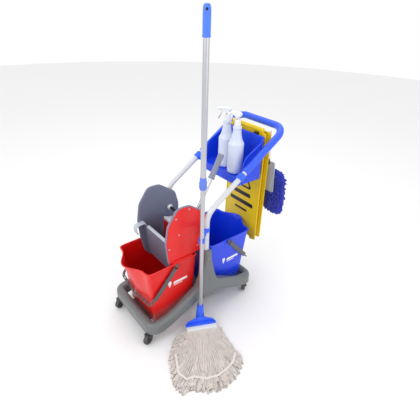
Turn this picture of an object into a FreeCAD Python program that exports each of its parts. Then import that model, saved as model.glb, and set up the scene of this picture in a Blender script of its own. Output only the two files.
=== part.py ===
import FreeCAD, Part
import math
import os
import re
from types import SimpleNamespace

import Sketcher
from FreeCAD import Placement, Rotation, Vector

# Housekeeping cart: base tray on four castors, bent handle tube, two buckets, a press wringer,
# a caddy with two spray bottles, a folded floor sign, a duster and a flat mop.
# Frame: +X is the cart's right side, -Y its front (red bucket), +Z up.
# The origin is on the floor, midway between the two upright tubes.

SIZES = {
    # chassis
    "chassis_half_width": 208, "chassis_front": 376, "chassis_rear": 360, "chassis_corner": 60,
    "rim_width": 46, "rim_corner_inner": 24, "chassis_wall": 4, "floor_top": 72, "floor_thick": 6,
    "tower_top": 458, "tower_split": 230, "socket_bottom": 142, "skirt_bottom": 69,
    # handle tube
    "tube_x": 177, "tube_radius": 14, "tube_wall": 2, "tube_bottom": 152, "bend_z": 665,
    "bend_radius": 95, "bar_y": 512, "bar_z": 1010, "bar_bend_radius": 66,
    "grip_radius": 19, "grip_start_y": 240,
    # castors
    "castor_x": 161, "castor_front": 345, "castor_rear": 334, "castor_trail": 27, "wheel_radius": 31,
    "tyre_width": 22, "tyre_thick": 6, "castor_crown": 63.5, "castor_top": 84,
    # buckets
    "bucket_half_width": 149.5, "bucket_floor_half_width": 139, "bucket_rim_z": 428,
    "bucket_wall": 2.5, "bucket_lip": 4.5, "bucket_shift": 6, "spout_reach": 56,
    "bucket_middle": 180.5, "bail_pivot": 178, "bail_pivot_z": 411,
    "bail_width": 25, "bail_thick": 3.5, "bail_reach": 264, "bail_hang": 49,
    # wringer
    "wringer_half_width": 142, "cover_thick": 3, "plate_thick": 9, "shaft_radius": 9,
    "shaft_y": -20, "shaft_z": 573, "lever_x": 78, "lever_angle": 61.8, "lever_grip_from": 253,
    "lever_grip_to": 388, "jaw_pin_y": -66, "jaw_pin_z": 335, "press_thick": 4,
    # caddy
    "caddy_half_width": 150, "caddy_front": 221, "caddy_rear": 392, "caddy_bottom": 744,
    "caddy_floor": 784, "caddy_wall": 3,
    # bottles
    "bottle_radius": 41, "bottle_height": 252, "neck_radius": 12,
    # sign
    "sign_half_width": 140, "sign_top": 985, "sign_bottom": 303, "leaf_thick": 5,
    "sign_front_y": 414, "sign_rear_y": 453,
    # mop
    "mop_x": 238, "mop_y": -79, "pole_top": 1574, "pole_bottom": 104, "pole_radius": 12.5,
    "inner_pole_radius": 10.7, "collar_bottom": 857, "grip_bottom": 1467,
    "clip_z": 580,
    # duster
    "duster_x": 118, "duster_y": 488, "duster_z": 806, "pad_x": 134, "pad_y": 514, "pad_z": 768,
}
dim = SimpleNamespace(**SIZES)

os.makedirs("parts", exist_ok=True)
doc = FreeCAD.newDocument("HousekeepingCart")
sheet = doc.addObject("Spreadsheet::Sheet", "Sizes")
for row, (alias, size) in enumerate(SIZES.items(), start=1):
    sheet.set("A%d" % row, alias)
    sheet.set("B%d" % row, str(size))
    sheet.setAlias("B%d" % row, alias)
doc.recompute()

nodes = []
X_AXIS, Y_AXIS, Z_AXIS = Vector(1, 0, 0), Vector(0, 1, 0), Vector(0, 0, 1)
ALONG_X = Rotation(Z_AXIS, X_AXIS)
ALONG_Y = Rotation(Z_AXIS, Y_AXIS)


# ---------------------------------------------------------------- helpers

def bind(obj, prop, formula):
    """Tie one property to cells of the sheet; formula names them by alias."""
    cells = re.sub(r"[a-z][a-z_]+", lambda word: "Sizes." + word.group(0), str(formula))
    obj.setExpression(prop, cells)


def node(obj, name):
    """Name an object as a sub-part of its own."""
    obj.Label = name
    nodes.append(obj)
    return obj


def cylinder(name, radius, height, base, turn=Rotation()):
    """A cylinder whose radius and height are formulas of the sheet."""
    obj = doc.addObject("Part::Cylinder", name)
    bind(obj, "Radius", radius)
    bind(obj, "Height", height)
    obj.Placement = Placement(Vector(*base), turn)
    return obj


def block(name, length, width, height, base, turn=Rotation()):
    """A box from its lowest corner, sizes as formulas of the sheet."""
    obj = doc.addObject("Part::Box", name)
    bind(obj, "Length", length)
    bind(obj, "Width", width)
    bind(obj, "Height", height)
    obj.Placement = Placement(Vector(*base), turn)
    return obj


def fuse(name, *objects):
    obj = doc.addObject("Part::MultiFuse", name)
    obj.Shapes = list(objects)
    return obj


def cut(name, base, tool):
    obj = doc.addObject("Part::Cut", name)
    obj.Base = base
    obj.Tool = tool
    return obj


def group(name, *objects):
    """Several separate solids kept as one sub-part."""
    obj = doc.addObject("Part::Compound", name)
    obj.Links = list(objects)
    return obj


def shaped(name, shape, placement=Placement()):
    obj = doc.addObject("Part::Feature", name)
    obj.Shape = shape
    obj.Placement = placement
    return obj


def outline(corners):
    """Line and arc geometry through (u, v) or (u, v, corner radius) points, closed."""
    points = [Vector(c[0], c[1], 0) for c in corners]
    radii = [c[2] if len(c) > 2 else 0 for c in corners]
    starts, ends, arcs = [], [], []
    for i, here in enumerate(points):
        before = (points[i - 1] - here).normalize()
        after = (points[(i + 1) % len(points)] - here).normalize()
        half = before.getAngle(after) / 2
        if radii[i] == 0:
            starts.append(here)
            ends.append(here)
            arcs.append(None)
            continue
        reach = radii[i] / math.tan(half)
        middle = (before + after).normalize()
        centre = here + middle * (radii[i] / math.sin(half))
        starts.append(here + before * reach)
        ends.append(here + after * reach)
        arcs.append(Part.Arc(starts[-1], centre - middle * radii[i], ends[-1]))
    geometry = []
    for i in range(len(points)):
        if arcs[i]:
            geometry.append(arcs[i])
        follow = starts[(i + 1) % len(points)]
        if ends[i].distanceToPoint(follow) > 1e-6:
            geometry.append(Part.LineSegment(ends[i], follow))
    return geometry


def ring_hole(u, v, radius):
    return [Part.Circle(Vector(u, v, 0), Vector(0, 0, 1), radius)]


def sketched(body, plane, geometry):
    origin = [f for f in body.Origin.OriginFeatures if f.Role == plane][0]
    sketch = body.newObject("Sketcher::SketchObject", body.Name + "_sketch")
    sketch.AttachmentSupport = [(origin, "")]
    sketch.MapMode = "FlatFace"
    sketch.addGeometry(geometry, False)
    return sketch


def plate(name, plane, corners, thickness, base=(0, 0, 0), holes=()):
    """A padded plate: YZ plates grow along +X, XZ plates along -Y, XY plates along +Z."""
    body = doc.addObject("PartDesign::Body", name)
    geometry = outline(corners)
    for hole in holes:
        geometry += hole
    sketch = sketched(body, plane, geometry)
    pad = body.newObject("PartDesign::Pad", name + "_pad")
    pad.Profile = sketch
    bind(pad, "Length", thickness)
    body.Placement = Placement(Vector(*base), Rotation())
    return body


def turned(name, profile, base=(0, 0, 0), turn=Rotation()):
    """A revolved piece; each profile point is (radius, height), both formulas of the sheet."""
    body = doc.addObject("PartDesign::Body", name)
    values = [(size_of(r), size_of(z)) for r, z in profile]
    points = [Vector(r, z, 0) for r, z in values]
    sketch = sketched(body, "XZ_Plane", [])
    for i in range(len(points)):
        sketch.addGeometry(Part.LineSegment(points[i], points[(i + 1) % len(points)]), False)
    for i in range(len(points)):
        sketch.addConstraint(Sketcher.Constraint("Coincident", i, 2, (i + 1) % len(points), 1))
    for i, (r, z) in enumerate(profile):
        for kind, formula, size in (("DistanceX", r, values[i][0]), ("DistanceY", z, values[i][1])):
            place = sketch.addConstraint(Sketcher.Constraint(kind, -1, 1, i, 1, size))
            if size != 0 and re.search("[a-z]", str(formula)):
                bind(sketch, "Constraints[%d]" % place, formula)
    spin = body.newObject("PartDesign::Revolution", name + "_spin")
    spin.Profile = sketch
    spin.ReferenceAxis = (sketch, ["V_Axis"])
    spin.Angle = 360
    body.Placement = Placement(Vector(*base), turn)
    return body


def size_of(formula):
    """The value of a sum of aliases and numbers, such as 'wheel_radius - 3'."""
    total, sign = 0.0, 1
    for word in str(formula).split():
        if word in "+-":
            sign = 1 if word == "+" else -1
        else:
            total += sign * float(SIZES.get(word, word))
    return total


def pipe(points, bends, radius, start_normal):
    """A round bar along straight runs joined by tangent arcs of the given radii."""
    points = [Vector(*p) for p in points]
    edges, here = [], points[0]
    for i in range(1, len(points) - 1):
        before = (points[i - 1] - points[i]).normalize()
        after = (points[i + 1] - points[i]).normalize()
        half = before.getAngle(after) / 2
        reach = bends[i - 1] / math.tan(half)
        middle = (before + after).normalize()
        centre = points[i] + middle * (bends[i - 1] / math.sin(half))
        first, last = points[i] + before * reach, points[i] + after * reach
        edges.append(Part.LineSegment(here, first).toShape())
        edges.append(Part.Arc(first, centre - middle * bends[i - 1], last).toShape())
        here = last
    edges.append(Part.LineSegment(here, points[-1]).toShape())
    spine = Part.Wire(edges)
    ring = Part.Wire(Part.Circle(points[0], start_normal, radius).toShape())
    return spine.makePipeShell([ring], True, False)


def prism(plane, corners, low, high):
    """A solid from an outline: YZ or XY plane corners, between two offsets along its normal."""
    wire = Part.Wire([g.toShape() for g in outline(corners)])
    face = Part.Face(wire)
    if plane == "YZ":
        matrix = FreeCAD.Matrix(0, 0, 1, low, 1, 0, 0, 0, 0, 1, 0, 0, 0, 0, 0, 1)
        face = Part.Face(wire).transformGeometry(matrix)
        return face.extrude(Vector(high - low, 0, 0))
    face.translate(Vector(0, 0, low))
    return face.extrude(Vector(0, 0, high - low))


# ---------------------------------------------------------------- chassis

# Each castor: its side, its end's place along Y and how far it is turned at rest.
CASTORS = {"fr": (1, -dim.castor_front, 20), "fl": (-1, -dim.castor_front, 20),
           "rr": (1, dim.castor_rear, 40), "rl": (-1, dim.castor_rear, -14)}


def castor_spot(corner):
    side, y, turn = CASTORS[corner]
    return Placement(Vector(side * dim.castor_x, y, 0), Rotation(Z_AXIS, turn))


# Height of the side wing along |y|: top edge and bottom edge, up to the tube socket.
WING_TOP = [(330, 131), (260, 142), (205, 163), (173, 176), (125, 205), (85, 227), (62, 230)]
WING_BOTTOM = [(300, 69), (250, 84), (170, 118), (90, 153), (40, 166)]


def wing_profile(lower):
    """Side view of the rim: low at both ends, arched up to the sockets in the middle."""
    low = dim.skirt_bottom
    top = [(y, z - lower) for y, z in WING_TOP]
    front = [(-dim.chassis_front - 5, 131 - lower)] + [(-y, z) for y, z in top]
    rear = [(y, z) for y, z in reversed(top)] + [(dim.chassis_rear + 5, 131 - lower)]
    sag = 200 if lower else 0
    under = [(y, z - sag) for y, z in WING_BOTTOM]
    lug = [(35, dim.socket_bottom - sag), (-30, dim.socket_bottom - sag)]
    rear_low = [(dim.chassis_rear + 5, low - sag)] + under
    front_low = [(-y, z) for y, z in reversed(under)] + [(-dim.chassis_front - 5, low - sag)]
    return front + rear + rear_low + lug + front_low


def rounded_plan(half_width, front, rear, radius):
    return [(-half_width, -front, radius), (half_width, -front, radius),
            (half_width, rear, radius), (-half_width, rear, radius)]


def make_base_tray():
    """Hollow bullnose rim with arched wings, tube sockets, a middle bridge and the tray floor."""
    half, width, wall = dim.chassis_half_width, dim.rim_width, dim.chassis_wall
    front, rear = dim.chassis_front, dim.chassis_rear
    inner_radius = dim.rim_corner_inner
    ring = prism("XY", rounded_plan(half, front, rear, dim.chassis_corner), 0, 300)
    ring = ring.cut(prism("XY", rounded_plan(half - width, front - width, rear - width,
                                             inner_radius), 0, 300))
    hollow = prism("XY", rounded_plan(half - wall, front - wall, rear - wall,
                                      dim.chassis_corner - wall), 0, 300)
    hollow = hollow.cut(prism("XY", rounded_plan(half - width + wall, front - width + wall,
                                                 rear - width + wall, inner_radius + wall), 0, 300))
    body = ring.common(prism("YZ", wing_profile(0), -220, 220))
    body = body.cut(hollow.common(prism("YZ", wing_profile(wall), -220, 220)))
    floor_low = dim.floor_top - dim.floor_thick
    extra = []
    for side in (-1, 1):
        low, high = sorted((side * (half - width + 1), side * (half - 1)))
        extra.append(Part.makeBox(high - low, 64, dim.tower_split - dim.socket_bottom,
                                  Vector(low, -29, dim.socket_bottom)))
    inner = half - width
    extra.append(Part.makeBox(250, 600, dim.floor_thick, Vector(-125, -300, floor_low)))
    for y_low, y_high in ((-front + width - 2, -290), (290, rear - width + 2)):
        extra.append(Part.makeBox(190, y_high - y_low, dim.floor_thick,
                                  Vector(-95, y_low, floor_low)))
    extra.append(Part.makeBox(2 * inner + 4, 50, 12, Vector(-inner - 2, -16, dim.socket_bottom + 2)))
    extra.append(Part.makeBox(240, 16, dim.socket_bottom - floor_low, Vector(-120, 1, floor_low)))
    body = body.multiFuse(extra)
    for tray_y in (-170, 188):
        for i in range(-2, 3):
            slot = Part.makeBox(22, 150, 20, Vector(i * 44 - 11, tray_y - 75, floor_low - 5))
            body = body.cut(slot)
    for side in (-1, 1):
        bore = Part.makeCylinder(dim.tube_radius + 0.03, 200,
                                 Vector(side * dim.tube_x, 0, dim.socket_bottom - 1))
        body = body.cut(bore)
    plan = prism("XY", rounded_plan(half - 1, front - 1, rear - 1, dim.chassis_corner - 1), 0, 300)
    ceilings = []
    for corner in CASTORS:
        spot = castor_spot(corner).Base
        body = body.cut(Part.makeCylinder(25.5, dim.castor_top + 7, Vector(spot.x, spot.y, 0)))
        ceiling = Part.makeCylinder(37, 6, Vector(spot.x, spot.y, dim.castor_top + 4.2))
        ceilings.append(ceiling.common(plan))
    body = body.multiFuse(ceilings)
    return node(shaped("BaseTray", body), "base_tray")


def make_towers():
    """A tapered sleeve over each socket that clamps the handle tube."""
    side_view = [(-58, dim.tower_split), (58, dim.tower_split), (48, 286, 60), (22, 390, 60),
                 (20, dim.tower_top, 8), (-20, dim.tower_top, 8), (-22, 390, 60), (-48, 286, 60)]
    for name, side in (("tower_right", 1), ("tower_left", -1)):
        low = 161.5 if side > 0 else -206
        body = plate(name + "_body", "YZ_Plane", side_view, "44.5", (low, 0, 0))
        bore = cylinder(name + "_bore", "tube_radius + 0.03", "300",
                        (side * dim.tube_x, 0, dim.tower_split - 10))
        screw = cylinder(name + "_screw_hole", "2.5", "40",
                         (side * 190, -3, 407), Rotation(Z_AXIS, Vector(side, 0, 0)))
        node(cut(name + "_cut", body, fuse(name + "_tools", bore, screw)), name)


def tube_path():
    x = dim.tube_x
    return [(-x, 0, dim.tube_bottom), (-x, 0, dim.bend_z), (-x, dim.bar_y, dim.bar_z),
            (x, dim.bar_y, dim.bar_z), (x, 0, dim.bend_z), (x, 0, dim.tube_bottom)]


def grip_path():
    """The sloped stretch, both corners and the crossbar, from grip_start_y on each side."""
    x, y = dim.tube_x, dim.grip_start_y
    z = dim.bend_z + y * (dim.bar_z - dim.bend_z) / dim.bar_y
    slope = Vector(0, dim.bar_y, dim.bar_z - dim.bend_z).normalize()
    return [(-x, y, z), (-x, dim.bar_y, dim.bar_z), (x, dim.bar_y, dim.bar_z), (x, y, z)], slope


def make_handle():
    bends = [dim.bend_radius, dim.bar_bend_radius, dim.bar_bend_radius, dim.bend_radius]
    outer = pipe(tube_path(), bends, dim.tube_radius, Z_AXIS)
    inner = pipe(tube_path(), bends, dim.tube_radius - dim.tube_wall, Z_AXIS)
    tube = outer.cut(inner)
    for side in (-1, 1):
        hole = Part.makeCylinder(2.5, 20, Vector(side * 180, -3, 407), Vector(side, 0, 0))
        tube = tube.cut(hole)
    node(shaped("HandleTube", tube), "handle_tube")
    path, slope = grip_path()
    corners = [dim.bar_bend_radius] * 2
    sleeve = pipe(path, corners, dim.grip_radius, slope)
    node(shaped("HandleGrip", sleeve.cut(pipe(path, corners, dim.tube_radius + 0.05, slope))),
         "handle_grip")


def make_frame_screws():
    screws = []
    for name, side in (("right", 1), ("left", -1)):
        away = Rotation(Z_AXIS, Vector(side, 0, 0))
        shank = cylinder("screw_shank_" + name, "2.4", "24", (side * 184, -3, 407), away)
        head = cylinder("screw_head_" + name, "5.5", "3", (side * 206, -3, 407), away)
        screws.append(fuse("screw_" + name, shank, head))
    node(group("FrameScrews", *screws), "frame_screws")


def make_tube_end_caps():
    caps = []
    for name, side in (("right", 1), ("left", -1)):
        caps.append(turned("end_cap_" + name, [("0", "0"), ("tube_radius - 0.1", "0"),
                                               ("tube_radius - 0.1", "8"), ("tube_radius - 2.1", "8"),
                                               ("tube_radius - 2.1", "24"), ("0", "24")],
                           (side * dim.tube_x, 0, dim.socket_bottom + 2)))
    node(group("TubeEndCaps", *caps), "tube_end_caps")


# ---------------------------------------------------------------- castors

def make_castor_plates():
    plates = []
    for corner in CASTORS:
        spot = castor_spot(corner).Base
        top = cylinder("swivel_plate_" + corner, "24", "4", (spot.x, spot.y, dim.castor_top))
        bore = cylinder("swivel_bore_" + corner, "6.05", "20", (spot.x, spot.y, dim.castor_top - 8))
        plates.append(cut("swivel_ring_" + corner, top, bore))
    node(group("CastorPlates", *plates), "castor_plates")


def make_castor(corner):
    """Fork with its swivel stem and axle, hub and tyre; the wheel trails the stem."""
    spot = castor_spot(corner)
    trail, half = dim.castor_trail, dim.tyre_width / 2
    crown_z = dim.castor_crown
    stem = cylinder("stem_" + corner, "6", "castor_top + 3 - castor_crown", (0, 0, crown_z))
    head = cylinder("head_" + corner, "18", "castor_top - 0.4 - castor_crown", (0, 0, crown_z))
    crown = plate("crown_" + corner, "XY_Plane", [(-16, -trail - 10, 8), (16, -trail - 10, 8),
                                                  (17, 16, 14), (-17, 16, 14)], "4", (0, 0, crown_z))
    legs = []
    leg_view = [(-trail - 10, crown_z + 4), (14, crown_z + 4), (2, 54, 12), (-trail + 10, 25, 9),
                (-trail - 10, 25, 9)]
    for name, x in (("near", half + 1.6), ("far", -half - 4.6)):
        legs.append(plate("leg_%s_%s" % (name, corner), "YZ_Plane", leg_view, "3", (x, 0, 0)))
    axle = cylinder("axle_" + corner, "4", "tyre_width + 12", (-half - 6, -trail, dim.wheel_radius),
                    ALONG_X)
    fork = fuse("CastorFork_" + corner, stem, head, crown, *legs, axle)
    fork.Placement = spot
    node(fork, "castor_fork_" + corner)
    local_wheel = Placement(Vector(-half, -trail, dim.wheel_radius), ALONG_X)
    rim = "wheel_radius - tyre_thick"
    hub = turned("CastorHub_" + corner, [("4.05", "-1"), ("9", "-1"), ("10", "6"),
                                         ("17", "7"), (rim + " - 2", "2"), (rim, "2"),
                                         (rim, "tyre_width - 2"), (rim + " - 2", "tyre_width - 2"),
                                         ("17", "tyre_width - 7"), ("10", "tyre_width - 6"),
                                         ("9", "tyre_width + 1"), ("4.05", "tyre_width + 1")])
    hub.Placement = spot.multiply(local_wheel)
    node(hub, "castor_hub_" + corner)
    tyre = turned("CastorTyre_" + corner, [(rim, "1"), ("wheel_radius - 4", "0"),
                                           ("wheel_radius - 1", "3"), ("wheel_radius", "7"),
                                           ("wheel_radius", "tyre_width - 7"),
                                           ("wheel_radius - 1", "tyre_width - 3"),
                                           ("wheel_radius - 4", "tyre_width"),
                                           (rim, "tyre_width - 1")])
    tyre.Placement = spot.multiply(local_wheel)
    node(tyre, "castor_tyre_" + corner)


# ---------------------------------------------------------------- buckets

def bucket_ring(half_width, half_length, middle, spout, z, end):
    """Closed curve at one height: an oval with squarer inner corners and a cosine spout outside."""
    points, bulge_half = [], 114.0
    near_corner = [corner + shift for corner in (225, 315) for shift in (-1.25, 0, 1.25)]
    for degrees in sorted([2.5 + 5 * i for i in range(72)] + near_corner):
        angle = math.radians(degrees)
        c, s = math.cos(angle), math.sin(angle)
        power = 13.0 if s > 0 else 24.0
        scale = (abs(c) ** power + abs(s) ** power) ** (-1 / power)
        x, along = half_width * c * scale, half_length * s * scale
        if s > 0 and abs(x) < bulge_half:
            along += spout * 0.5 * (1 + math.cos(math.pi * x / bulge_half))
        points.append(Vector(x, end * (middle + along), z))
    return Part.makePolygon(points + points[:1])


def bucket_level(z, grow, end):
    """The bucket's outline at height z, grown outwards by grow."""
    part = (z - dim.floor_top) / (dim.bucket_rim_z - dim.floor_top)
    half_width = dim.bucket_floor_half_width + part * (dim.bucket_half_width
                                                       - dim.bucket_floor_half_width)
    half_length = 122 + part * 24.5
    middle = dim.bucket_middle + part * (14.5 + dim.bucket_shift * end)
    spout = 1 + part * part * (dim.spout_reach - 1)
    return bucket_ring(half_width + grow, half_length + grow, middle, spout, z, end)


def make_bucket(name, end):
    """Tapered open bucket with a rolled lip and a pivot boss on each side for the bail."""
    bottom, rim, wall = dim.floor_top + 0.3, dim.bucket_rim_z, dim.bucket_wall
    lip = dim.bucket_lip
    steps = [(150, 0), (260, 0), (rim - 11, 0), (rim - 8, lip), (rim, lip)]
    outer = Part.makeLoft([bucket_level(z, grow, end) for z, grow in [(bottom, 0)] + steps], True, True)
    inner = Part.makeLoft([bucket_level(z, -wall, end) for z in (bottom + 3, 150, 260, rim + 1)],
                          True, True)
    body = outer.cut(inner)
    for side in (-1, 1):
        boss = Part.makeCylinder(13, 7.4, Vector(side * 147.6, end * bail_pivot_y(end), dim.bail_pivot_z),
                                 Vector(side, 0, 0))
        pin = Part.makeCylinder(4, 13.5, Vector(side * 147.6, end * bail_pivot_y(end), dim.bail_pivot_z),
                                Vector(side, 0, 0))
        body = body.fuse([boss, pin])
    return node(shaped(name.title().replace("_", ""), body), name)


def bail_pivot_y(end):
    return dim.bail_pivot + dim.bucket_shift * end


def make_bail(name, end):
    """Flat strap bent in a bow round the outer end of the bucket, resting against it."""
    half = dim.tube_x - dim.tube_radius - 3.0
    thick, width = dim.bail_thick, dim.bail_width
    side, bow, corner, middle = dim.bail_reach - 14, dim.bail_reach, 30, 400
    corners = [(-half, 0), (-half, side, corner), (0, bow, middle), (half, side, corner), (half, 0)]
    inside = half - thick
    inner = [(inside, 0), (inside, side - thick, corner - thick), (0, bow - thick, middle - thick),
             (-inside, side - thick, corner - thick), (-inside, 0)]
    wire = Part.Wire([g.toShape() for g in outline(corners + inner)])
    strap = Part.Face(wire).extrude(Vector(0, 0, width))
    strap.translate(Vector(0, 0, -width / 2))
    for sign in (-1, 1):
        ear = Part.makeCylinder(14, thick, Vector(sign * half, 0, 0), Vector(-sign, 0, 0))
        strap = strap.fuse(ear)
    for sign in (-1, 1):
        strap = strap.cut(Part.makeCylinder(4.05, 20, Vector(sign * (half + 5), 0, 0),
                                            Vector(-sign, 0, 0)))
    hang = Rotation(X_AXIS, -dim.bail_hang)
    if end < 0:
        hang = Rotation(Z_AXIS, 180).multiply(hang)
    spot = Placement(Vector(0, end * bail_pivot_y(end), dim.bail_pivot_z), hang)
    return node(shaped(name.title().replace("_", ""), strap, spot), name)


# ---------------------------------------------------------------- wringer

SIDE_PLATE = [(-80, 731, 60), (-150, 733, 45), (-208, 650, 60), (-224, 555, 80), (-214, 450, 60),
              (-192, 345, 30), (-160, 304, 18), (-90, 308, 26), (-56, 337, 12), (-58, 433, 6),
              (20, 437, 22), (37, 490, 40), (41, 580, 50), (20, 660, 50)]


def make_wringer_sides():
    shaft_hole = ring_hole(dim.shaft_y, dim.shaft_z, dim.shaft_radius + 0.05)
    pin_hole = ring_hole(dim.jaw_pin_y, dim.jaw_pin_z, 4.05)
    inset = [(-91 + (y + 91) * 0.96, 520 + (z - 520) * 0.975, r) for y, z, r in SIDE_PLATE]
    half, cover = dim.wringer_half_width, dim.cover_thick
    inner = half - cover - dim.plate_thick
    for name, side in (("right", 1), ("left", -1)):
        low = inner if side > 0 else -inner - dim.plate_thick
        node(plate("wringer_plate_%s_body" % name, "YZ_Plane", SIDE_PLATE, "plate_thick", (low, 0, 0),
                   [shaft_hole, pin_hole]), "wringer_plate_" + name)
        low = half - cover if side > 0 else -half
        skin = plate("cover_skin_" + name, "YZ_Plane", inset, "cover_thick", (low, 0, 0))
        ledge_low = half - 1 if side > 0 else -half - 8
        ledge = block("cover_ledge_" + name, "9", "120", "8",
                      (ledge_low, -190, dim.bucket_rim_z + 0.5))
        node(fuse("WringerCover_" + name, skin, ledge), "wringer_cover_" + name)


def make_wringer_screws():
    screws = []
    places = ((-83, 710), (-160, 680), (-144, 584), (-203, 520), (-30, 474))
    for name, side in (("right", 1), ("left", -1)):
        for i, (y, z) in enumerate(places):
            screws.append(cylinder("cover_screw_%s_%d" % (name, i), "5", "2.2",
                                   (side * dim.wringer_half_width, y, z),
                                   Rotation(Z_AXIS, Vector(side, 0, 0))))
    node(group("WringerScrews", *screws), "wringer_screws")


def press_slope():
    """Placement of the front plate: its own Z runs up the plate from (y -158, z 322)."""
    lean = math.degrees(math.atan2(32, 216))
    return Placement(Vector(0, -158, 322), Rotation(X_AXIS, lean))


def make_front_press_plate():
    inner = dim.wringer_half_width - dim.cover_thick - dim.plate_thick
    holes = []
    for row_z in range(22, 200, 22):
        for i in range(-5, 6):
            holes.append(ring_hole(i * 22, row_z, 5))
    body = plate("FrontPressPlate", "XZ_Plane", [(-inner, 0), (inner, 0), (inner, 218), (-inner, 218)],
                 "press_thick", (0, 0, 0), holes)
    body.Placement = press_slope()
    node(body, "front_press_plate")


def make_front_plate_strip():
    inner = dim.wringer_half_width - dim.cover_thick - dim.plate_thick
    strip = block("strip_bar", str(2 * inner - 60), "16", "9", (-inner + 58, -12, 218.2))
    hook = plate("strip_hook", "YZ_Plane", [(-4.3, 218.2), (2, 218.2), (2, 230, 3), (-60, 234, 12),
                                            (-66, 188, 3), (-60, 188, 2), (-56, 226, 7),
                                            (-4.3, 224)], "34", (-inner + 2, 0, 0))
    both = group("FrontPlateStrip", strip, hook)
    both.Placement = press_slope()
    node(both, "front_plate_strip")


def make_shaft_bushes():
    inner = dim.wringer_half_width - dim.cover_thick - dim.plate_thick
    bushes = []
    for name, low in (("right", inner - 14.2), ("left", -inner + 0.2)):
        bushes.append(turned("bush_" + name, [("shaft_radius + 0.05", "0"), ("shaft_radius + 7", "0"),
                                              ("shaft_radius + 7", "14"), ("shaft_radius + 0.05", "14")],
                             (low, dim.shaft_y, dim.shaft_z), ALONG_X))
    node(group("ShaftBushes", *bushes), "shaft_bushes")


def make_lever():
    inner = dim.wringer_half_width - dim.cover_thick - dim.plate_thick
    node(cylinder("WringerShaft", "shaft_radius", str(2 * inner + 11),
                  (-inner - 5.5, dim.shaft_y, dim.shaft_z), ALONG_X), "wringer_shaft")
    along = Vector(0, math.cos(math.radians(dim.lever_angle)), math.sin(math.radians(dim.lever_angle)))
    root = Vector(dim.lever_x, dim.shaft_y, dim.shaft_z)
    turn = Rotation(Z_AXIS, along)
    foot = root + along * (dim.shaft_radius - 0.5)
    arm = cylinder("lever_arm", "9.5", "lever_grip_to - 20 - shaft_radius", tuple(foot), turn)
    eye = cylinder("lever_eye", "16", "26", (dim.lever_x - 13, dim.shaft_y, dim.shaft_z), ALONG_X)
    bore = cylinder("lever_eye_bore", "shaft_radius", "60", (dim.lever_x - 30, dim.shaft_y,
                                                             dim.shaft_z), ALONG_X)
    node(cut("LeverTube", fuse("lever_welded", arm, eye), bore), "lever_tube")
    grip_foot = root + along * dim.lever_grip_from
    node(turned("LeverGrip", [("9.5", "0"), ("17", "0"), ("17.5", "6"), ("15.5", "14"),
                              ("15.5", "120"), ("16.5", "128"), ("12", "135"), ("0", "135"),
                              ("0", "115"), ("9.5", "115")], tuple(grip_foot), turn), "lever_grip")
    cam_view = [(-18, 588, 12), (18 - 20, 594, 14), (4, 560, 14), (-18, 549, 12), (-42, 552, 12),
                (-44, 578, 14)]
    node(plate("LeverCam", "YZ_Plane", cam_view, "30", (-62, 0, 0),
               [ring_hole(dim.shaft_y, dim.shaft_z, dim.shaft_radius)]), "lever_cam")


def make_jaw():
    """Moving press plate on two bottom pins, with the bracket that the cam pushes."""
    half = 118
    holes = []
    for row_z in range(28, 175, 24):
        for i in range(-4, 5):
            holes.append(ring_hole(i * 24, row_z, 5))
    panel = plate("jaw_panel", "XZ_Plane", [(-half, 0), (half, 0), (half, 184, 6), (-half, 184, 6)],
                  "5", (0, dim.jaw_pin_y, dim.jaw_pin_z), holes)
    pin = cylinder("jaw_pin", "4", "2 * (wringer_half_width - cover_thick) - 1",
                   (-dim.wringer_half_width + dim.cover_thick + 0.5, dim.jaw_pin_y, dim.jaw_pin_z),
                   ALONG_X)
    barrel = cylinder("jaw_barrel", "8", str(2 * half), (-half, dim.jaw_pin_y, dim.jaw_pin_z), ALONG_X)
    node(fuse("PressJaw", panel, barrel, pin), "press_jaw")
    node(block("JawBracket", "200", "50", "18", (-112, dim.jaw_pin_y - 5, dim.jaw_pin_z + 184.1)),
         "jaw_bracket")


# ---------------------------------------------------------------- caddy and bottles

def make_caddy():
    half, front, rear = dim.caddy_half_width, dim.caddy_front, dim.caddy_rear
    wall, floor_z, bottom = dim.caddy_wall, dim.caddy_floor, dim.caddy_bottom
    side_view = [(front, bottom, 8), (front, floor_z + 5, 3), (front + 12, floor_z + 6, 10),
                 (258, 896, 18), (364, 950, 20), (378, 976, 8), (rear, 976, 4), (rear, bottom, 8)]
    body = prism("YZ", side_view, -half, half)
    body = body.cut(Part.makeBox(2 * (half - wall), rear - front - 2 * wall, 400,
                                 Vector(-half + wall, front + wall, floor_z)))
    body = body.cut(Part.makeBox(2 * (half - wall), rear - front - 2 * wall, floor_z - bottom - wall,
                                 Vector(-half + wall, front + wall, bottom - 0.01)))
    node(shaped("Caddy", body), "caddy")


def slope_z(y):
    """Height of the tube's centre line over the sloped stretch."""
    return dim.bend_z + y * (dim.bar_z - dim.bend_z) / dim.bar_y


def make_caddy_clips():
    """Blue sockets that hook the caddy's sides over the sloped tubes."""
    clips = []
    slope = Vector(0, dim.bar_y, dim.bar_z - dim.bend_z).normalize()
    for name, side in (("right", 1), ("left", -1)):
        foot = Vector(side * dim.tube_x, 200, slope_z(200))
        ring = cylinder("clip_ring_" + name, "tube_radius + 6", "36", tuple(foot),
                        Rotation(Z_AXIS, slope))
        low = dim.caddy_half_width + 0.2 if side > 0 else -dim.caddy_half_width - 20.2
        arm = block("clip_arm_" + name, "20", "52", "26", (low, 205, slope_z(200) - 12))
        bore = cylinder("clip_bore_" + name, "tube_radius + 0.05", "120",
                        tuple(foot - slope * 30), Rotation(Z_AXIS, slope))
        clips.append(cut("clip_" + name, fuse("clip_body_" + name, ring, arm), bore))
    node(group("CaddyClips", *clips), "caddy_clips")


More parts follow.
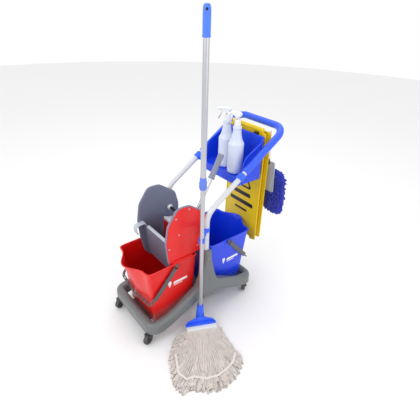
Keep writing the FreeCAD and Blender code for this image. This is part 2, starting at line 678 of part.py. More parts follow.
def make_sign_hooks():
    """Two black hooks on the caddy's back wall; the sign's grip bar rests on their lips."""
    back, lip = dim.caddy_rear + 0.2, dim.sign_top - 0.3
    view = [(back, 915, 2), (back + 5, 915, 2), (back + 5, lip - 14, 6), (410.5, lip - 8, 3),
            (410.5, lip), (back, lip)]
    hooks = [plate("sign_hook_" + name, "YZ_Plane", view, "26", (x, 0, 0))
             for name, x in (("left", -90), ("right", 64))]
    node(group("SignHooks", *hooks), "sign_hooks")


BOTTLES = {"a": (66, 272), "b": (-32, 290)}
HEAD_TURN = 228


def make_bottle(which):
    """Round bottle with a long tapered neck, its sprayer head and the hinged trigger."""
    x, y = BOTTLES[which]
    base = dim.caddy_floor + 0.3
    top = "bottle_height"
    node(turned("Bottle_" + which, [("0", "0"), ("bottle_radius - 6", "0"), ("bottle_radius - 2", "5"),
                                    ("bottle_radius", "160"), ("bottle_radius - 3", "168"),
                                    ("bottle_radius - 14", "182"), ("21", top + " - 14"),
                                    ("23", top + " - 10"), ("23", top + " - 2"), ("19", top),
                                    ("neck_radius", top), ("neck_radius", top + " + 14"),
                                    ("0", top + " + 14")], (x, y, base)), "bottle_" + which)
    spot = Placement(Vector(x, y, base + dim.bottle_height), Rotation(Z_AXIS, HEAD_TURN))
    cap = turned("cap_" + which, [("neck_radius + 0.1", "0.3"), ("neck_radius + 4", "0.3"),
                                  ("neck_radius + 3", "32"), ("0", "32"), ("0", "14.1"),
                                  ("neck_radius + 0.1", "14.1")])
    head = plate("head_" + which, "XZ_Plane",
                 [(-16, 68, 9), (-20, 58, 5), (-13, 44, 10), (-11, 31), (11, 31), (13, 47, 12),
                  (44, 54, 3), (45, 68, 3), (30, 71, 8)], "20", (0, 10, 0))
    nozzle = cylinder("nozzle_" + which, "7", "9", (44.5, 0, 61), ALONG_X)
    pivot_x, pivot_z, pin_radius = 31, 47, 1.15
    cheeks = [block("cheek_%s_%d" % (which, i), "6", "2", "10", (pivot_x - 3, v, pivot_z - 2.5))
              for i, v in enumerate((-8.3, 6.3))]
    pin = cylinder("trigger_pin_" + which, str(pin_radius), "15", (pivot_x, 7.5, pivot_z),
                   Rotation(Z_AXIS, -Y_AXIS))
    sprayer = fuse("Sprayer_" + which, cap, head, nozzle, pin, *cheeks)
    sprayer.Placement = spot
    node(sprayer, "sprayer_" + which)
    view = [(26, 49, 2), (36, 51, 3), (37, 38, 14), (50, 12, 4), (43, 9, 4), (31, 30, 14)]
    drop = 1.2
    trigger = plate("Trigger_" + which, "XZ_Plane", view, "12", (0, 0, 0),
                    [ring_hole(pivot_x, pivot_z + drop, pin_radius + 0.05)])
    trigger.Placement = spot.multiply(Placement(Vector(0, 6, -drop), Rotation()))
    node(trigger, "trigger_" + which)


# ---------------------------------------------------------------- sign and duster

def make_sign():
    half, thick = dim.sign_half_width, dim.leaf_thick
    for name, face_y, low in (("front", dim.sign_front_y, dim.sign_bottom),
                              ("rear", dim.sign_rear_y, dim.sign_bottom + 6)):
        view = [(-half, low + 12, 10), (-half + 40, low, 6), (-half + 52, low + 16, 10),
                (half - 52, low + 16, 10), (half - 40, low, 6), (half, low + 12, 10),
                (half - 2, dim.sign_top, 18), (-half + 2, dim.sign_top, 18)]
        node(plate("SignLeaf_" + name, "XZ_Plane", view, "leaf_thick", (0, face_y + thick / 2, 0)),
             "sign_leaf_" + name)
    front_face = dim.sign_front_y + thick / 2
    bar = block("sign_bar", "234", "14", "26", (-117, dim.sign_front_y - 7, dim.sign_top))
    bridge = block("sign_bridge", "200", "sign_rear_y - leaf_thick - sign_front_y", "16",
                   (-100, front_face, dim.sign_top - 12))
    node(fuse("SignGrip", bar, bridge), "sign_grip")


def make_duster():
    """Leaning handle with a flat blade that hangs behind the sign, and the soft pad on it."""
    rod = cylinder("duster_rod", "7", "188", (dim.duster_x, dim.duster_y, dim.duster_z),
                   Rotation(X_AXIS, 7))
    tilt = Placement(Vector(dim.pad_x, dim.pad_y, dim.pad_z), Rotation(X_AXIS, 4))
    blade = doc.addObject("Part::Box", "duster_blade")
    bind(blade, "Length", "90")
    bind(blade, "Width", "5")
    bind(blade, "Height", "190")
    blade.Placement = tilt.multiply(Placement(Vector(-61, -28, -142), Rotation()))
    node(fuse("DusterHandle", rod, blade), "duster_handle")
    pad = doc.addObject("Part::Box", "duster_pad_block")
    bind(pad, "Length", "172")
    bind(pad, "Width", "44")
    bind(pad, "Height", "285")
    pad.Placement = tilt.multiply(Placement(Vector(-86, -22, -285), Rotation()))
    doc.recompute()
    soft = doc.addObject("Part::Fillet", "DusterPad")
    soft.Base = pad
    soft.Edges = [(i + 1, 18.0, 18.0) for i in range(12)]
    node(soft, "duster_pad")


# ---------------------------------------------------------------- mop

def make_mop():
    x, y = dim.mop_x, dim.mop_y
    lower = cylinder("lower_pole_out", "inner_pole_radius", "1150 - pole_bottom",
                     (x, y, dim.pole_bottom))
    lower_in = cylinder("lower_pole_in", "inner_pole_radius - 1.4", "1200", (x, y, dim.pole_bottom + 40))
    node(cut("LowerPole", lower, lower_in), "lower_pole")
    upper = cylinder("upper_pole_out", "pole_radius", "pole_top - 6 - collar_bottom - 6",
                     (x, y, dim.collar_bottom + 6))
    upper_in = cylinder("upper_pole_in", "pole_radius - 1.5", "grip_bottom + 60 - collar_bottom",
                        (x, y, dim.collar_bottom - 5))
    node(cut("UpperPole", upper, upper_in), "upper_pole")
    node(turned("TwistCollar", [("inner_pole_radius + 0.3", "0"), ("15", "0"), ("17", "6"),
                                ("17", "36"), ("15.5", "50"), ("14.5", "58"),
                                ("pole_radius + 0.05", "58"), ("pole_radius + 0.05", "5.7"),
                                ("inner_pole_radius + 0.3", "5.7")],
                (x, y, dim.collar_bottom)), "twist_collar")
    node(turned("PoleGrip", [("pole_radius + 0.05", "0"), ("15.5", "0"), ("16", "4"),
                             ("15.5", "10"), ("15.5", "92"), ("13", "104"), ("6", "107"), ("0", "107"),
                             ("0", "101.2"), ("pole_radius + 0.05", "101.2")],
                (x, y, dim.grip_bottom)), "pole_grip")
    across = Rotation(Z_AXIS, 64)
    spot = Placement(Vector(x, y, 0), across)
    socket = turned("clamp_socket_body", [("0", "48"), ("12", "48"), ("16", "80"), ("21", "112"),
                                          ("21", "150"), ("inner_pole_radius + 0.05", "150"),
                                          ("inner_pole_radius + 0.05", "pole_bottom - 0.1"),
                                          ("0", "pole_bottom - 0.1")])
    neck = block("clamp_neck", "30", "16", "36", (-15, -20, 28))
    bar = block("clamp_bar", "170", "22", "14", (-85, -36, 24))
    body = fuse("ClampBody", socket, neck, bar)
    body.Placement = spot
    node(body, "clamp_body")
    flap = plate("jaw_flap", "XY_Plane", [(-82, -62, 8), (82, -62, 8), (82, -41.5, 4), (-82, -41.5, 4)],
                 "9")
    barrel = cylinder("jaw_hinge_barrel", "4.5", "164", (-82, -41.5, 4.5), ALONG_X)
    jaw = fuse("ClampJaw", flap, barrel)
    jaw.Placement = spot.multiply(Placement(Vector(0, 0, 27), Rotation()))
    node(jaw, "clamp_jaw")
    node(shaped("Yarn", yarn_solid()), "mop_yarn")


def yarn_solid():
    """Low spread mass of yarn: a loft of three smaller and higher outlines."""
    floor_line = [(216, -180), (250, -262), (330, -345), (455, -408), (520, -395), (530, -352),
                  (585, -300), (612, -235), (612, -165), (596, -98), (560, -50), (475, -42),
                  (388, -28), (318, 2), (262, -8)]
    middle = Vector(400, -190, 0)
    wires = []
    for z, scale in ((0.0, 0.985), (8.0, 1.0), (20.0, 0.93)):
        points = [middle + (Vector(px, py, 0) - middle) * scale + Vector(0, 0, z)
                  for px, py in floor_line]
        wires.append(Part.makePolygon(points + points[:1]))
    return Part.makeLoft(wires, True, True)


def make_mop_clip():
    """Ring on the right tube with an arm and an open spring clip for the mop pole."""
    away = Vector(dim.mop_x - dim.tube_x, dim.mop_y, 0)
    turn = Rotation(X_AXIS, away)
    spot = Placement(Vector(dim.tube_x, 0, dim.clip_z - 12), turn)
    ring = cylinder("clip_tube_ring", "tube_radius + 2.2", "24", (0, 0, 0))
    arm = block("clip_tube_arm", str(away.Length - 24), "14", "20", (10, -7, 2))
    claw = cylinder("clip_claw", "inner_pole_radius + 5", "24", (away.Length, 0, 0))
    tube_bore = cylinder("clip_tube_bore", "tube_radius + 0.03", "60", (0, 0, -20))
    pole_bore = cylinder("clip_pole_bore", "inner_pole_radius + 0.3", "60", (away.Length, 0, -20))
    mouth = block("clip_mouth", "30", "16", "60", (away.Length + 2, -8, -20))
    clip = cut("MopClip", fuse("mop_clip_body", ring, arm, claw),
               fuse("mop_clip_tools", tube_bore, pole_bore, mouth))
    clip.Placement = spot
    node(clip, "mop_clip")


# ---------------------------------------------------------------- build and write

make_base_tray()
make_towers()
make_handle()
make_frame_screws()
make_tube_end_caps()
make_castor_plates()
for corner_name in CASTORS:
    make_castor(corner_name)
for bucket_name, bucket_end in (("red", -1), ("blue", 1)):
    make_bucket(bucket_name + "_bucket", bucket_end)
    make_bail(bucket_name + "_bail", bucket_end)
make_wringer_sides()
make_wringer_screws()
make_front_press_plate()
make_front_plate_strip()
make_shaft_bushes()
make_lever()
make_jaw()
make_caddy()
make_caddy_clips()
make_sign_hooks()
for bottle_name in BOTTLES:
    make_bottle(bottle_name)
make_sign()
make_duster()
make_mop()
make_mop_clip()

doc.recompute()
for item in doc.Objects:
    if "Invalid" in item.State or "Error" in item.State:
        raise RuntimeError("failed object: " + item.Label)
for item in nodes:
    if item.Shape.isNull() or not item.Shape.isValid() or not item.Shape.Solids:
        raise RuntimeError("bad shape: " + item.Label)
for item in nodes:
    item.Shape.exportStep("parts/" + item.Label + ".step")
    print("%-22s solids %2d  volume %9.1f cm3" % (item.Label, len(item.Shape.Solids),
                                                 item.Shape.Volume / 1000))
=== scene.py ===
import math

import bmesh
import bpy
import numpy as np
from mathutils import Matrix


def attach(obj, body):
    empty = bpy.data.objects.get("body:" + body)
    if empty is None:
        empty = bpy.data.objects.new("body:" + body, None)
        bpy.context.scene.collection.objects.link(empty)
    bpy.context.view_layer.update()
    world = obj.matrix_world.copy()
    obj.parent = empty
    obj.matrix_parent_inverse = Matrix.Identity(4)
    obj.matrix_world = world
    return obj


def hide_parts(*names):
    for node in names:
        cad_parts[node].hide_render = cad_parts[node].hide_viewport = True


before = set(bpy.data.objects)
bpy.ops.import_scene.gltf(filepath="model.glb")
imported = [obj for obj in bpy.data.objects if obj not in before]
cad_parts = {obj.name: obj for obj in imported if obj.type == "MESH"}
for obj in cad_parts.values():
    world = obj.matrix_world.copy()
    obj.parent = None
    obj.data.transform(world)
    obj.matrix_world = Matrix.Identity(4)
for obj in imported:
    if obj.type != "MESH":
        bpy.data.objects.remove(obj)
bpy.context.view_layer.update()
chance = np.random.default_rng(7)
TAU = 2 * math.pi
MM = 0.001


# ---------------------------------------------------------------- camera, lights and floor

def make_camera():
    """Camera at azimuth 50 and elevation 30.5 degrees, rolled by 2 degrees."""
    azimuth, elevation, roll = math.radians(50.05), math.radians(30.47), math.radians(1.96)
    back = np.array([math.sin(azimuth) * math.cos(elevation),
                     -math.cos(azimuth) * math.cos(elevation), math.sin(elevation)])
    right = np.array([math.cos(azimuth), math.sin(azimuth), 0.0])
    up = np.cross(back, right)
    matrix = np.eye(4)
    matrix[:3, 0] = right * math.cos(roll) + up * math.sin(roll)
    matrix[:3, 1] = up * math.cos(roll) - right * math.sin(roll)
    matrix[:3, 2] = back
    matrix[:3, 3] = (1.32808, -0.95173, 1.59253)
    lens = bpy.data.cameras.new("camera")
    lens.lens, lens.sensor_width = 30.59, 36.0
    lens.shift_x, lens.shift_y = 0.0015, -0.0084
    camera = bpy.data.objects.new("camera", lens)
    camera.matrix_world = Matrix(matrix.tolist())
    bpy.context.scene.collection.objects.link(camera)
    bpy.context.scene.camera = camera


def soft_box(name, place, size, power):
    """One square area light that faces the middle of the cart."""
    way = np.array([0.1, 0.0, 0.6]) - np.array(place)
    data = bpy.data.lights.new(name, "AREA")
    data.energy, data.size = power, size
    light = bpy.data.objects.new(name, data)
    light.location = place
    tilt = math.acos(-way[2] / np.linalg.norm(way))
    light.rotation_euler = (tilt, 0, math.atan2(way[1], way[0]) - math.pi / 2)
    bpy.context.scene.collection.objects.link(light)


def make_studio():
    """A white surround, a large key light from the left, a fill from the right and a top light."""
    world = bpy.data.worlds.new("studio")
    world.use_nodes = True
    world.node_tree.nodes["Background"].inputs["Color"].default_value = (1.0, 1.0, 1.0, 1)
    world.node_tree.nodes["Background"].inputs["Strength"].default_value = 1.0
    bpy.context.scene.world = world
    bpy.context.scene.view_settings.view_transform = "Standard"
    soft_box("key", (0.3, -2.8, 2.7), 1.7, 30)
    soft_box("fill", (3.0, 0.4, 1.7), 2.2, 12)
    soft_box("top", (-0.5, 0.8, 3.4), 2.4, 22)


def make_floor():
    """A wide flat pale disc just under the wheels."""
    points = np.column_stack([circle(9000, 96), np.full(96, -0.3)]) * MM
    mesh = bpy.data.meshes.new("floor")
    mesh.from_pydata(points.tolist(), [], [list(range(96))])
    mesh.materials.append(floor_paint)
    floor = bpy.data.objects.new("floor", mesh)
    bpy.context.scene.collection.objects.link(floor)


# ---------------------------------------------------------------- shader node groups

def new_group(name, inputs, outputs):
    """An empty shader group; inputs is name -> (kind, default) and outputs is name -> kind."""
    tree = bpy.data.node_groups.new(name, "ShaderNodeTree")
    for label, (kind, value) in inputs.items():
        socket = tree.interface.new_socket(label, in_out="INPUT", socket_type="NodeSocket" + kind)
        socket.default_value = value
    for label, kind in outputs.items():
        tree.interface.new_socket(label, in_out="OUTPUT", socket_type="NodeSocket" + kind)
    return tree, tree.nodes.new("NodeGroupInput"), tree.nodes.new("NodeGroupOutput")


def add(tree, kind, settings=(), **inputs):
    """One node; settings are its properties and inputs are numbers or the sockets that feed it."""
    node = tree.nodes.new(kind)
    for key, value in dict(settings).items():
        setattr(node, key, value)
    for key, value in inputs.items():
        label = int(key[1:]) if key[0] == "i" and key[1:].isdigit() else key.replace("_", " ")
        if isinstance(value, bpy.types.NodeSocket):
            tree.links.new(value, node.inputs[label])
        else:
            node.inputs[label].default_value = value
    return node


def maths(tree, operation, a, b=0.0, clamp=False):
    return add(tree, "ShaderNodeMath", {"operation": operation, "use_clamp": clamp}, i0=a, i1=b).outputs[0]


def blend_colour(tree, amount, first, second, how="MIX"):
    node = add(tree, "ShaderNodeMix", {"data_type": "RGBA", "blend_type": how}, i0=amount, i6=first,
               i7=second)
    return node.outputs[2]


def noise(tree, place, scale, detail=2.0, stretch=None):
    """Noise on Object coordinates in metres; stretch squeezes the pattern along x, y and z."""
    if stretch:
        place = add(tree, "ShaderNodeMapping", Vector=place, Scale=stretch).outputs[0]
    return add(tree, "ShaderNodeTexNoise", Vector=place, Scale=scale, Detail=detail).outputs["Fac"]


def make_moulded_group():
    """Moulded plastic: soft clouding, fine pore height, faint scuffs, and dust towards the floor."""
    tree, source, result = new_group(
        "moulded_plastic", {"Colour": ("Color", (1, 1, 1, 1)), "Roughness": ("Float", 0.4),
                            "Clouding": ("Float", 0.06), "Pores": ("Float", 0.3),
                            "Scuffs": ("Float", 0.15), "Dust": ("Float", 0.1)},
        {"Colour": "Color", "Roughness": "Float", "Height": "Float"})
    place = add(tree, "ShaderNodeTexCoord").outputs["Object"]
    cloud = maths(tree, "SUBTRACT", noise(tree, place, 14, 4), 0.5)
    shade = maths(tree, "ADD", maths(tree, "MULTIPLY", cloud, source.outputs["Clouding"]), 1.0)
    colour = add(tree, "ShaderNodeVectorMath", {"operation": "SCALE"}, i0=source.outputs["Colour"],
                 Scale=shade).outputs[0]
    scratch = noise(tree, place, 60, 3, (1.0, 0.12, 1.6))
    scratch = maths(tree, "MULTIPLY", maths(tree, "SUBTRACT", scratch, 0.6, True), 3.5, True)
    scuffed = maths(tree, "MULTIPLY", scratch, source.outputs["Scuffs"])
    colour = blend_colour(tree, scuffed, colour, (0.75, 0.75, 0.76, 1))
    height = add(tree, "ShaderNodeSeparateXYZ", Vector=place).outputs["Z"]
    low = maths(tree, "SUBTRACT", 1.0, maths(tree, "MULTIPLY", height, 4.0), True)
    dusty = maths(tree, "MULTIPLY", maths(tree, "MULTIPLY", low, noise(tree, place, 30, 5)),
                  source.outputs["Dust"])
    colour = blend_colour(tree, dusty, colour, (0.32, 0.30, 0.27, 1))
    roughness = maths(tree, "ADD", source.outputs["Roughness"],
                      maths(tree, "ADD", maths(tree, "MULTIPLY", scuffed, 0.5),
                            maths(tree, "MULTIPLY", cloud, 0.12)))
    pores = maths(tree, "MULTIPLY", noise(tree, place, 1300, 2), source.outputs["Pores"])
    waves = maths(tree, "MULTIPLY", noise(tree, place, 22, 1), 1.6)
    tree.links.new(colour, result.inputs["Colour"])
    tree.links.new(roughness, result.inputs["Roughness"])
    tree.links.new(maths(tree, "ADD", pores, waves), result.inputs["Height"])
    return tree


def make_metal_group():
    """Drawn tube: fine lines along its length, cloudy tarnish and small dark specks."""
    tree, source, result = new_group(
        "drawn_metal", {"Colour": ("Color", (1, 1, 1, 1)), "Roughness": ("Float", 0.3),
                        "Lines": ("Float", 1.0), "Tarnish": ("Float", 0.2)},
        {"Colour": "Color", "Roughness": "Float", "Height": "Float"})
    place = add(tree, "ShaderNodeTexCoord").outputs["Object"]
    lines = noise(tree, place, 900, 2, (1.0, 1.0, 0.02))
    cloud = noise(tree, place, 35, 5)
    speck = maths(tree, "MULTIPLY", maths(tree, "SUBTRACT", noise(tree, place, 420, 1), 0.68, True), 4, True)
    dark = maths(tree, "MULTIPLY", maths(tree, "ADD", maths(tree, "MULTIPLY", cloud, 0.6), speck),
                 source.outputs["Tarnish"])
    colour = blend_colour(tree, dark, source.outputs["Colour"], (0.30, 0.29, 0.28, 1))
    roughness = maths(tree, "ADD", source.outputs["Roughness"],
                      maths(tree, "MULTIPLY", maths(tree, "SUBTRACT", lines, 0.4), 0.25))
    tree.links.new(colour, result.inputs["Colour"])
    tree.links.new(roughness, result.inputs["Roughness"])
    tree.links.new(maths(tree, "MULTIPLY", lines, source.outputs["Lines"]), result.inputs["Height"])
    return tree


def make_thread_group():
    """Twisted thread on a UV map in millimetres: slanted plies with painted shade in their grooves, fuzz and
    uneven dye.
    """
    tree, source, result = new_group(
        "twisted_thread", {"Colour": ("Color", (1, 1, 1, 1)), "Shade": ("Color", (0.5, 0.5, 0.5, 1)),
                           "Plies": ("Float", 1.0), "Unevenness": ("Float", 0.3)},
        {"Colour": "Color", "Height": "Float"})
    coordinates = add(tree, "ShaderNodeTexCoord")
    along = add(tree, "ShaderNodeSeparateXYZ", Vector=coordinates.outputs["UV"])
    turn = maths(tree, "ADD", maths(tree, "MULTIPLY", along.outputs["X"], 1.1),
                 maths(tree, "MULTIPLY", along.outputs["Y"], TAU))
    ply = maths(tree, "ADD", maths(tree, "MULTIPLY", maths(tree, "SINE", turn), 0.5), 0.5)
    fuzz = noise(tree, coordinates.outputs["Object"], 700, 3)
    patch = noise(tree, coordinates.outputs["Object"], 45, 4)
    # painted shade: the colour falls towards Shade in the grooves between plies (1 - ply), and uneven dye
    # adds random patches of it
    deep = maths(tree, "MULTIPLY", maths(tree, "SUBTRACT", 1.0, ply), 0.45)
    deep = maths(tree, "ADD", deep, maths(tree, "MULTIPLY", patch, source.outputs["Unevenness"]), True)
    tree.links.new(blend_colour(tree, deep, source.outputs["Colour"], source.outputs["Shade"]),
                   result.inputs["Colour"])
    height = maths(tree, "ADD", maths(tree, "MULTIPLY", ply, source.outputs["Plies"]),
                   maths(tree, "MULTIPLY", fuzz, 0.5))
    tree.links.new(height, result.inputs["Height"])
    return tree


def finish(name, group, effects, bump=0.05, depth=0.0006, **shader):
    """A material whose colour, roughness and bump come from a group placed with its own values."""
    made = bpy.data.materials.new(name)
    made.use_nodes = True
    tree = made.node_tree
    surface = tree.nodes["Principled BSDF"]
    for key, value in shader.items():
        surface.inputs[key.replace("_", " ")].default_value = value
    effect = tree.nodes.new("ShaderNodeGroup")
    effect.node_tree = group
    for key, value in effects.items():
        effect.inputs[key].default_value = value
    tree.links.new(effect.outputs["Colour"], surface.inputs["Base Color"])
    if "Roughness" in effect.outputs:
        tree.links.new(effect.outputs["Roughness"], surface.inputs["Roughness"])
    relief = add(tree, "ShaderNodeBump", Strength=bump, Distance=depth,
                 Height=effect.outputs["Height"])
    tree.links.new(relief.outputs[0], surface.inputs["Normal"])
    return made


def shade(red, green, blue):
    """A linear colour from the three 0-255 values of a paint chart."""
    return tuple(((c / 255 + 0.055) / 1.055) ** 2.4 if c > 10 else c / 3294 for c in (red, green, blue)) + (1,
                                                                                                            )


def plastic(name, colour, roughness=0.38, clouding=0.08, pores=0.3, scuffs=0.08, dust=0.1, bump=0.08,
            **shader):
    return finish(name, moulded_group, {"Colour": shade(*colour), "Roughness": roughness,
                                        "Clouding": clouding, "Pores": pores, "Scuffs": scuffs,
                                        "Dust": dust}, bump, **shader)


def metal(name, colour, roughness, lines=0.6, tarnish=0.12, bump=0.05, shine=1.0):
    return finish(name, metal_group, {"Colour": shade(*colour), "Roughness": roughness,
                                      "Lines": lines, "Tarnish": tarnish}, bump, Metallic=shine)


# dark is the Shade colour: painted shade for the ply grooves, also the tone of the uneven dye
def thread(name, colour, dark, plies=1.0, unevenness=0.3, bump=0.6, **shader):
    return finish(name, thread_group, {"Colour": shade(*colour), "Shade": shade(*dark),
                                       "Plies": plies, "Unevenness": unevenness}, bump, 0.0012,
                  Roughness=0.95, **shader)


moulded_group = make_moulded_group()
metal_group = make_metal_group()
thread_group = make_thread_group()

grey_moulding = plastic("grey_moulding", (104, 108, 110), 0.36, dust=0.16, Coat_Weight=0.15,
                        Coat_Roughness=0.3)
grey_bail = plastic("grey_bail", (84, 87, 91), 0.4)
red_moulding = plastic("red_moulding", (222, 10, 8), 0.34, Coat_Weight=0.1, Coat_Roughness=0.25)
red_cover = plastic("red_cover", (224, 14, 10), 0.38, Coat_Weight=0.08, Coat_Roughness=0.3)
blue_moulding = plastic("blue_moulding", (10, 58, 226), 0.34, Coat_Weight=0.1, Coat_Roughness=0.25)
blue_caddy = plastic("blue_caddy", (12, 66, 222), 0.38, Coat_Weight=0.08, Coat_Roughness=0.3)
blue_grip = plastic("blue_grip", (32, 84, 236), 0.36, Coat_Weight=0.2, Coat_Roughness=0.3)
blue_clamp = plastic("blue_clamp", (40, 96, 244), 0.34)
pole_grip_blue = plastic("pole_grip_blue", (70, 122, 250), 0.4)
collar_blue = plastic("collar_blue", (92, 122, 222), 0.42)
white_lacquer = metal("white_lacquer", (206, 209, 214), 0.3, 0.1, 0.05, 0.03, 0.15)
bare_aluminium = metal("bare_aluminium", (196, 198, 204), 0.34, 0.8, 0.14, 0.06)
polished_steel = metal("polished_steel", (206, 208, 214), 0.16, 0.3, 0.06, 0.04)
dark_steel = metal("dark_steel", (84, 86, 92), 0.32, 0.5, 0.3, 0.06)
zinc_steel = metal("zinc_steel", (150, 152, 156), 0.42, 0.4, 0.3, 0.06)
wringer_grey = plastic("wringer_grey", (118, 124, 146), 0.4, Coat_Weight=0.12, Coat_Roughness=0.3)
lever_grey = plastic("lever_grey", (128, 132, 152), 0.5)
white_plastic = plastic("white_plastic", (226, 229, 234), 0.36, clouding=0.05, dust=0.02)
clear_hook = plastic("clear_hook", (200, 206, 216), 0.3, Transmission_Weight=0.25)
black_plastic = plastic("black_plastic", (26, 27, 30), 0.42)
black_rubber = plastic("black_rubber", (24, 24, 26), 0.62, scuffs=0.2, dust=0.5)
black_print = plastic("black_print", (30, 30, 28), 0.5)
white_print = plastic("white_print", (236, 236, 238), 0.45, clouding=0.03)
yellow_moulding = plastic("yellow_moulding", (236, 200, 12), 0.42)
bottle_skin = plastic("bottle_skin", (206, 214, 232), 0.3, clouding=0.1, scuffs=0.05,
                      Subsurface_Weight=0.2, Subsurface_Radius=(0.02, 0.02, 0.02))
paddle_clear = plastic("paddle_clear", (206, 214, 230), 0.3, Transmission_Weight=0.3)
# second colour of each thread: painted shade in the grooves between plies, also used for uneven dye
cotton = thread("cotton", (238, 232, 226), (176, 166, 158))
# painted shade: a darker copy of cotton for the bottom layer of yarn, which lies under the other layers
cotton_shaded_under = thread("cotton_shaded_under", (216, 207, 200), (146, 134, 126))
band_cotton = thread("band_cotton", (236, 232, 226), (190, 182, 176), 0.6)
chenille = thread("chenille", (34, 58, 206), (10, 20, 120), 0.8, 0.4, Sheen_Weight=0.3)
floor_paint = plastic("floor_paint", (240, 240, 241), 0.75, clouding=0.01, pores=0.1, scuffs=0, dust=0)
castor_hub_grey = plastic("castor_hub_grey", (44, 45, 49), 0.5, dust=0.3)
press_red = plastic("press_red", (206, 26, 24), 0.42)
zinc_screw = metal("zinc_screw", (190, 190, 194), 0.36, 0.2, 0.1, 0.03, 0.9)


# ---------------------------------------------------------------- mesh making

def piece(name, shape, body, material, replaces=(), smooth=35, uv=None):
    """One object from a (points in millimetres, faces) shape, riding on a body.

    Without uv, doubles are merged and normals turned outwards; edges sharper than smooth degrees stay sharp.
    """
    points, faces = shape
    mesh = bpy.data.meshes.new(name)
    mesh.from_pydata((np.asarray(points) * MM).tolist(), [], faces)
    if uv is not None:
        layer = mesh.uv_layers.new(name="thread")
        corners = np.empty(len(mesh.loops), dtype=int)
        mesh.loops.foreach_get("vertex_index", corners)
        layer.data.foreach_set("uv", uv[corners].ravel())
    else:
        work = bmesh.new()
        work.from_mesh(mesh)
        bmesh.ops.remove_doubles(work, verts=work.verts, dist=2e-6)
        bmesh.ops.dissolve_degenerate(work, edges=work.edges, dist=1e-6)
        bmesh.ops.recalc_face_normals(work, faces=work.faces)
        work.to_mesh(mesh)
        work.free()
    mesh.shade_smooth()
    mesh.set_sharp_from_angle(angle=math.radians(smooth))
    mesh.materials.append(material)
    obj = bpy.data.objects.new(name, mesh)
    bpy.context.scene.collection.objects.link(obj)
    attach(obj, body)
    if replaces:
        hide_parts(*replaces)
    return obj


def grid_faces(rows, columns, wrap_rows=False, wrap_columns=False):
    """Quads over a rows x columns grid of points."""
    r = np.arange(rows if wrap_rows else rows - 1)
    c = np.arange(columns if wrap_columns else columns - 1)
    r, c = np.meshgrid(r, c, indexing="ij")
    r2, c2 = (r + 1) % rows, (c + 1) % columns
    quads = np.stack([r * columns + c, r * columns + c2, r2 * columns + c2, r2 * columns + c], -1)
    return quads.reshape(-1, 4).tolist()


def skin(rings, capped=True):
    """A tube through rings (n, k, 3); flat caps close its two ends."""
    rings = np.asarray(rings)
    n, k = rings.shape[:2]
    faces = grid_faces(n, k, wrap_columns=True)
    if capped:
        faces += [list(range(k)), list(range((n - 1) * k, n * k))]
    return rings.reshape(-1, 3), faces


def band(rings):
    """A closed band: rings (n, k, 3) whose last ring joins the first."""
    rings = np.asarray(rings)
    return rings.reshape(-1, 3), grid_faces(*rings.shape[:2], True, True)


def join(*shapes):
    """Several shapes as one."""
    points, faces, start = [], [], 0
    for some_points, some_faces in shapes:
        points.append(np.asarray(some_points).reshape(-1, 3))
        faces += [[i + start for i in face] for face in some_faces]
        start += len(points[-1])
    return np.concatenate(points), faces


def placed(shape, move=(0, 0, 0), turn=0.0, tilt=0.0, mirror=False):
    """A shape tilted about X, turned about Z (degrees), mirrored in x and moved."""
    points, faces = shape
    a, b = math.radians(turn), math.radians(tilt)
    about_x = np.array([[1, 0, 0], [0, math.cos(b), -math.sin(b)], [0, math.sin(b), math.cos(b)]])
    about_z = np.array([[math.cos(a), -math.sin(a), 0], [math.sin(a), math.cos(a), 0], [0, 0, 1]])
    points = np.asarray(points) @ (about_z @ about_x).T + np.array(move)
    return (points * np.array([-1, 1, 1]) if mirror else points), faces


def circle(radius, count=24):
    angles = np.linspace(0, TAU, count, endpoint=False)
    return np.stack([radius * np.cos(angles), radius * np.sin(angles)], 1)


def rounded(corners, steps=6, closed=True):
    """Points along a polygon whose corners (u, v, radius) are arcs of that many steps."""
    corners = [tuple(c) + (0.0,) * (3 - len(c)) for c in corners]
    points, count = [], len(corners)
    for i, (u, v, radius) in enumerate(corners):
        here = np.array([u, v], float)
        if radius == 0 or (not closed and i in (0, count - 1)):
            points.append(here[None])
            continue
        before = np.array(corners[i - 1][:2]) - here
        after = np.array(corners[(i + 1) % count][:2]) - here
        before, after = before / np.linalg.norm(before), after / np.linalg.norm(after)
        half = math.acos(np.clip(before @ after, -1, 1)) / 2
        if half > math.pi / 2 - 1e-3:
            points.append(here[None])
            continue
        middle = (before + after) / np.linalg.norm(before + after)
        centre = here + middle * radius / math.sin(half)
        start = here + before * radius / math.tan(half) - centre
        end = here + after * radius / math.tan(half) - centre
        turn = math.atan2(start[0] * end[1] - start[1] * end[0], start @ end)
        angles = np.linspace(0, turn, steps + 1)[:, None]
        side = np.array([-start[1], start[0]])
        points.append(centre + start * np.cos(angles) + side * np.sin(angles))
    return np.concatenate(points)


def dense(points, spacing, closed=True):
    """The same line with points added so that no gap is longer than spacing."""
    result = []
    count = len(points) if closed else len(points) - 1
    for i in range(count):
        a, b = points[i], points[(i + 1) % len(points)]
        parts = max(1, int(np.ceil(np.linalg.norm(b - a) / spacing)))
        result.append(a + (b - a) * (np.arange(parts) / parts)[:, None])
    if not closed:
        result.append(points[-1:])
    return np.concatenate(result)


def outward(outline, closed=True):
    """Unit normals of an outline, one per point, on its right-hand side going along it."""
    if closed:
        ahead, behind = np.roll(outline, -1, 0) - outline, outline - np.roll(outline, 1, 0)
    else:
        step = np.diff(outline, axis=0)
        ahead, behind = np.vstack([step, step[-1:]]), np.vstack([step[:1], step])
    ahead = ahead / np.maximum(np.linalg.norm(ahead, axis=1, keepdims=True), 1e-9)
    behind = behind / np.maximum(np.linalg.norm(behind, axis=1, keepdims=True), 1e-9)
    along = ahead + behind
    normal = np.stack([along[:, 1], -along[:, 0]], 1)
    return normal / np.maximum(np.linalg.norm(normal, axis=1, keepdims=True), 1e-9)


def signed_area(outline):
    u, v = outline.T
    return np.sum(u * np.roll(v, -1) - np.roll(u, -1) * v)


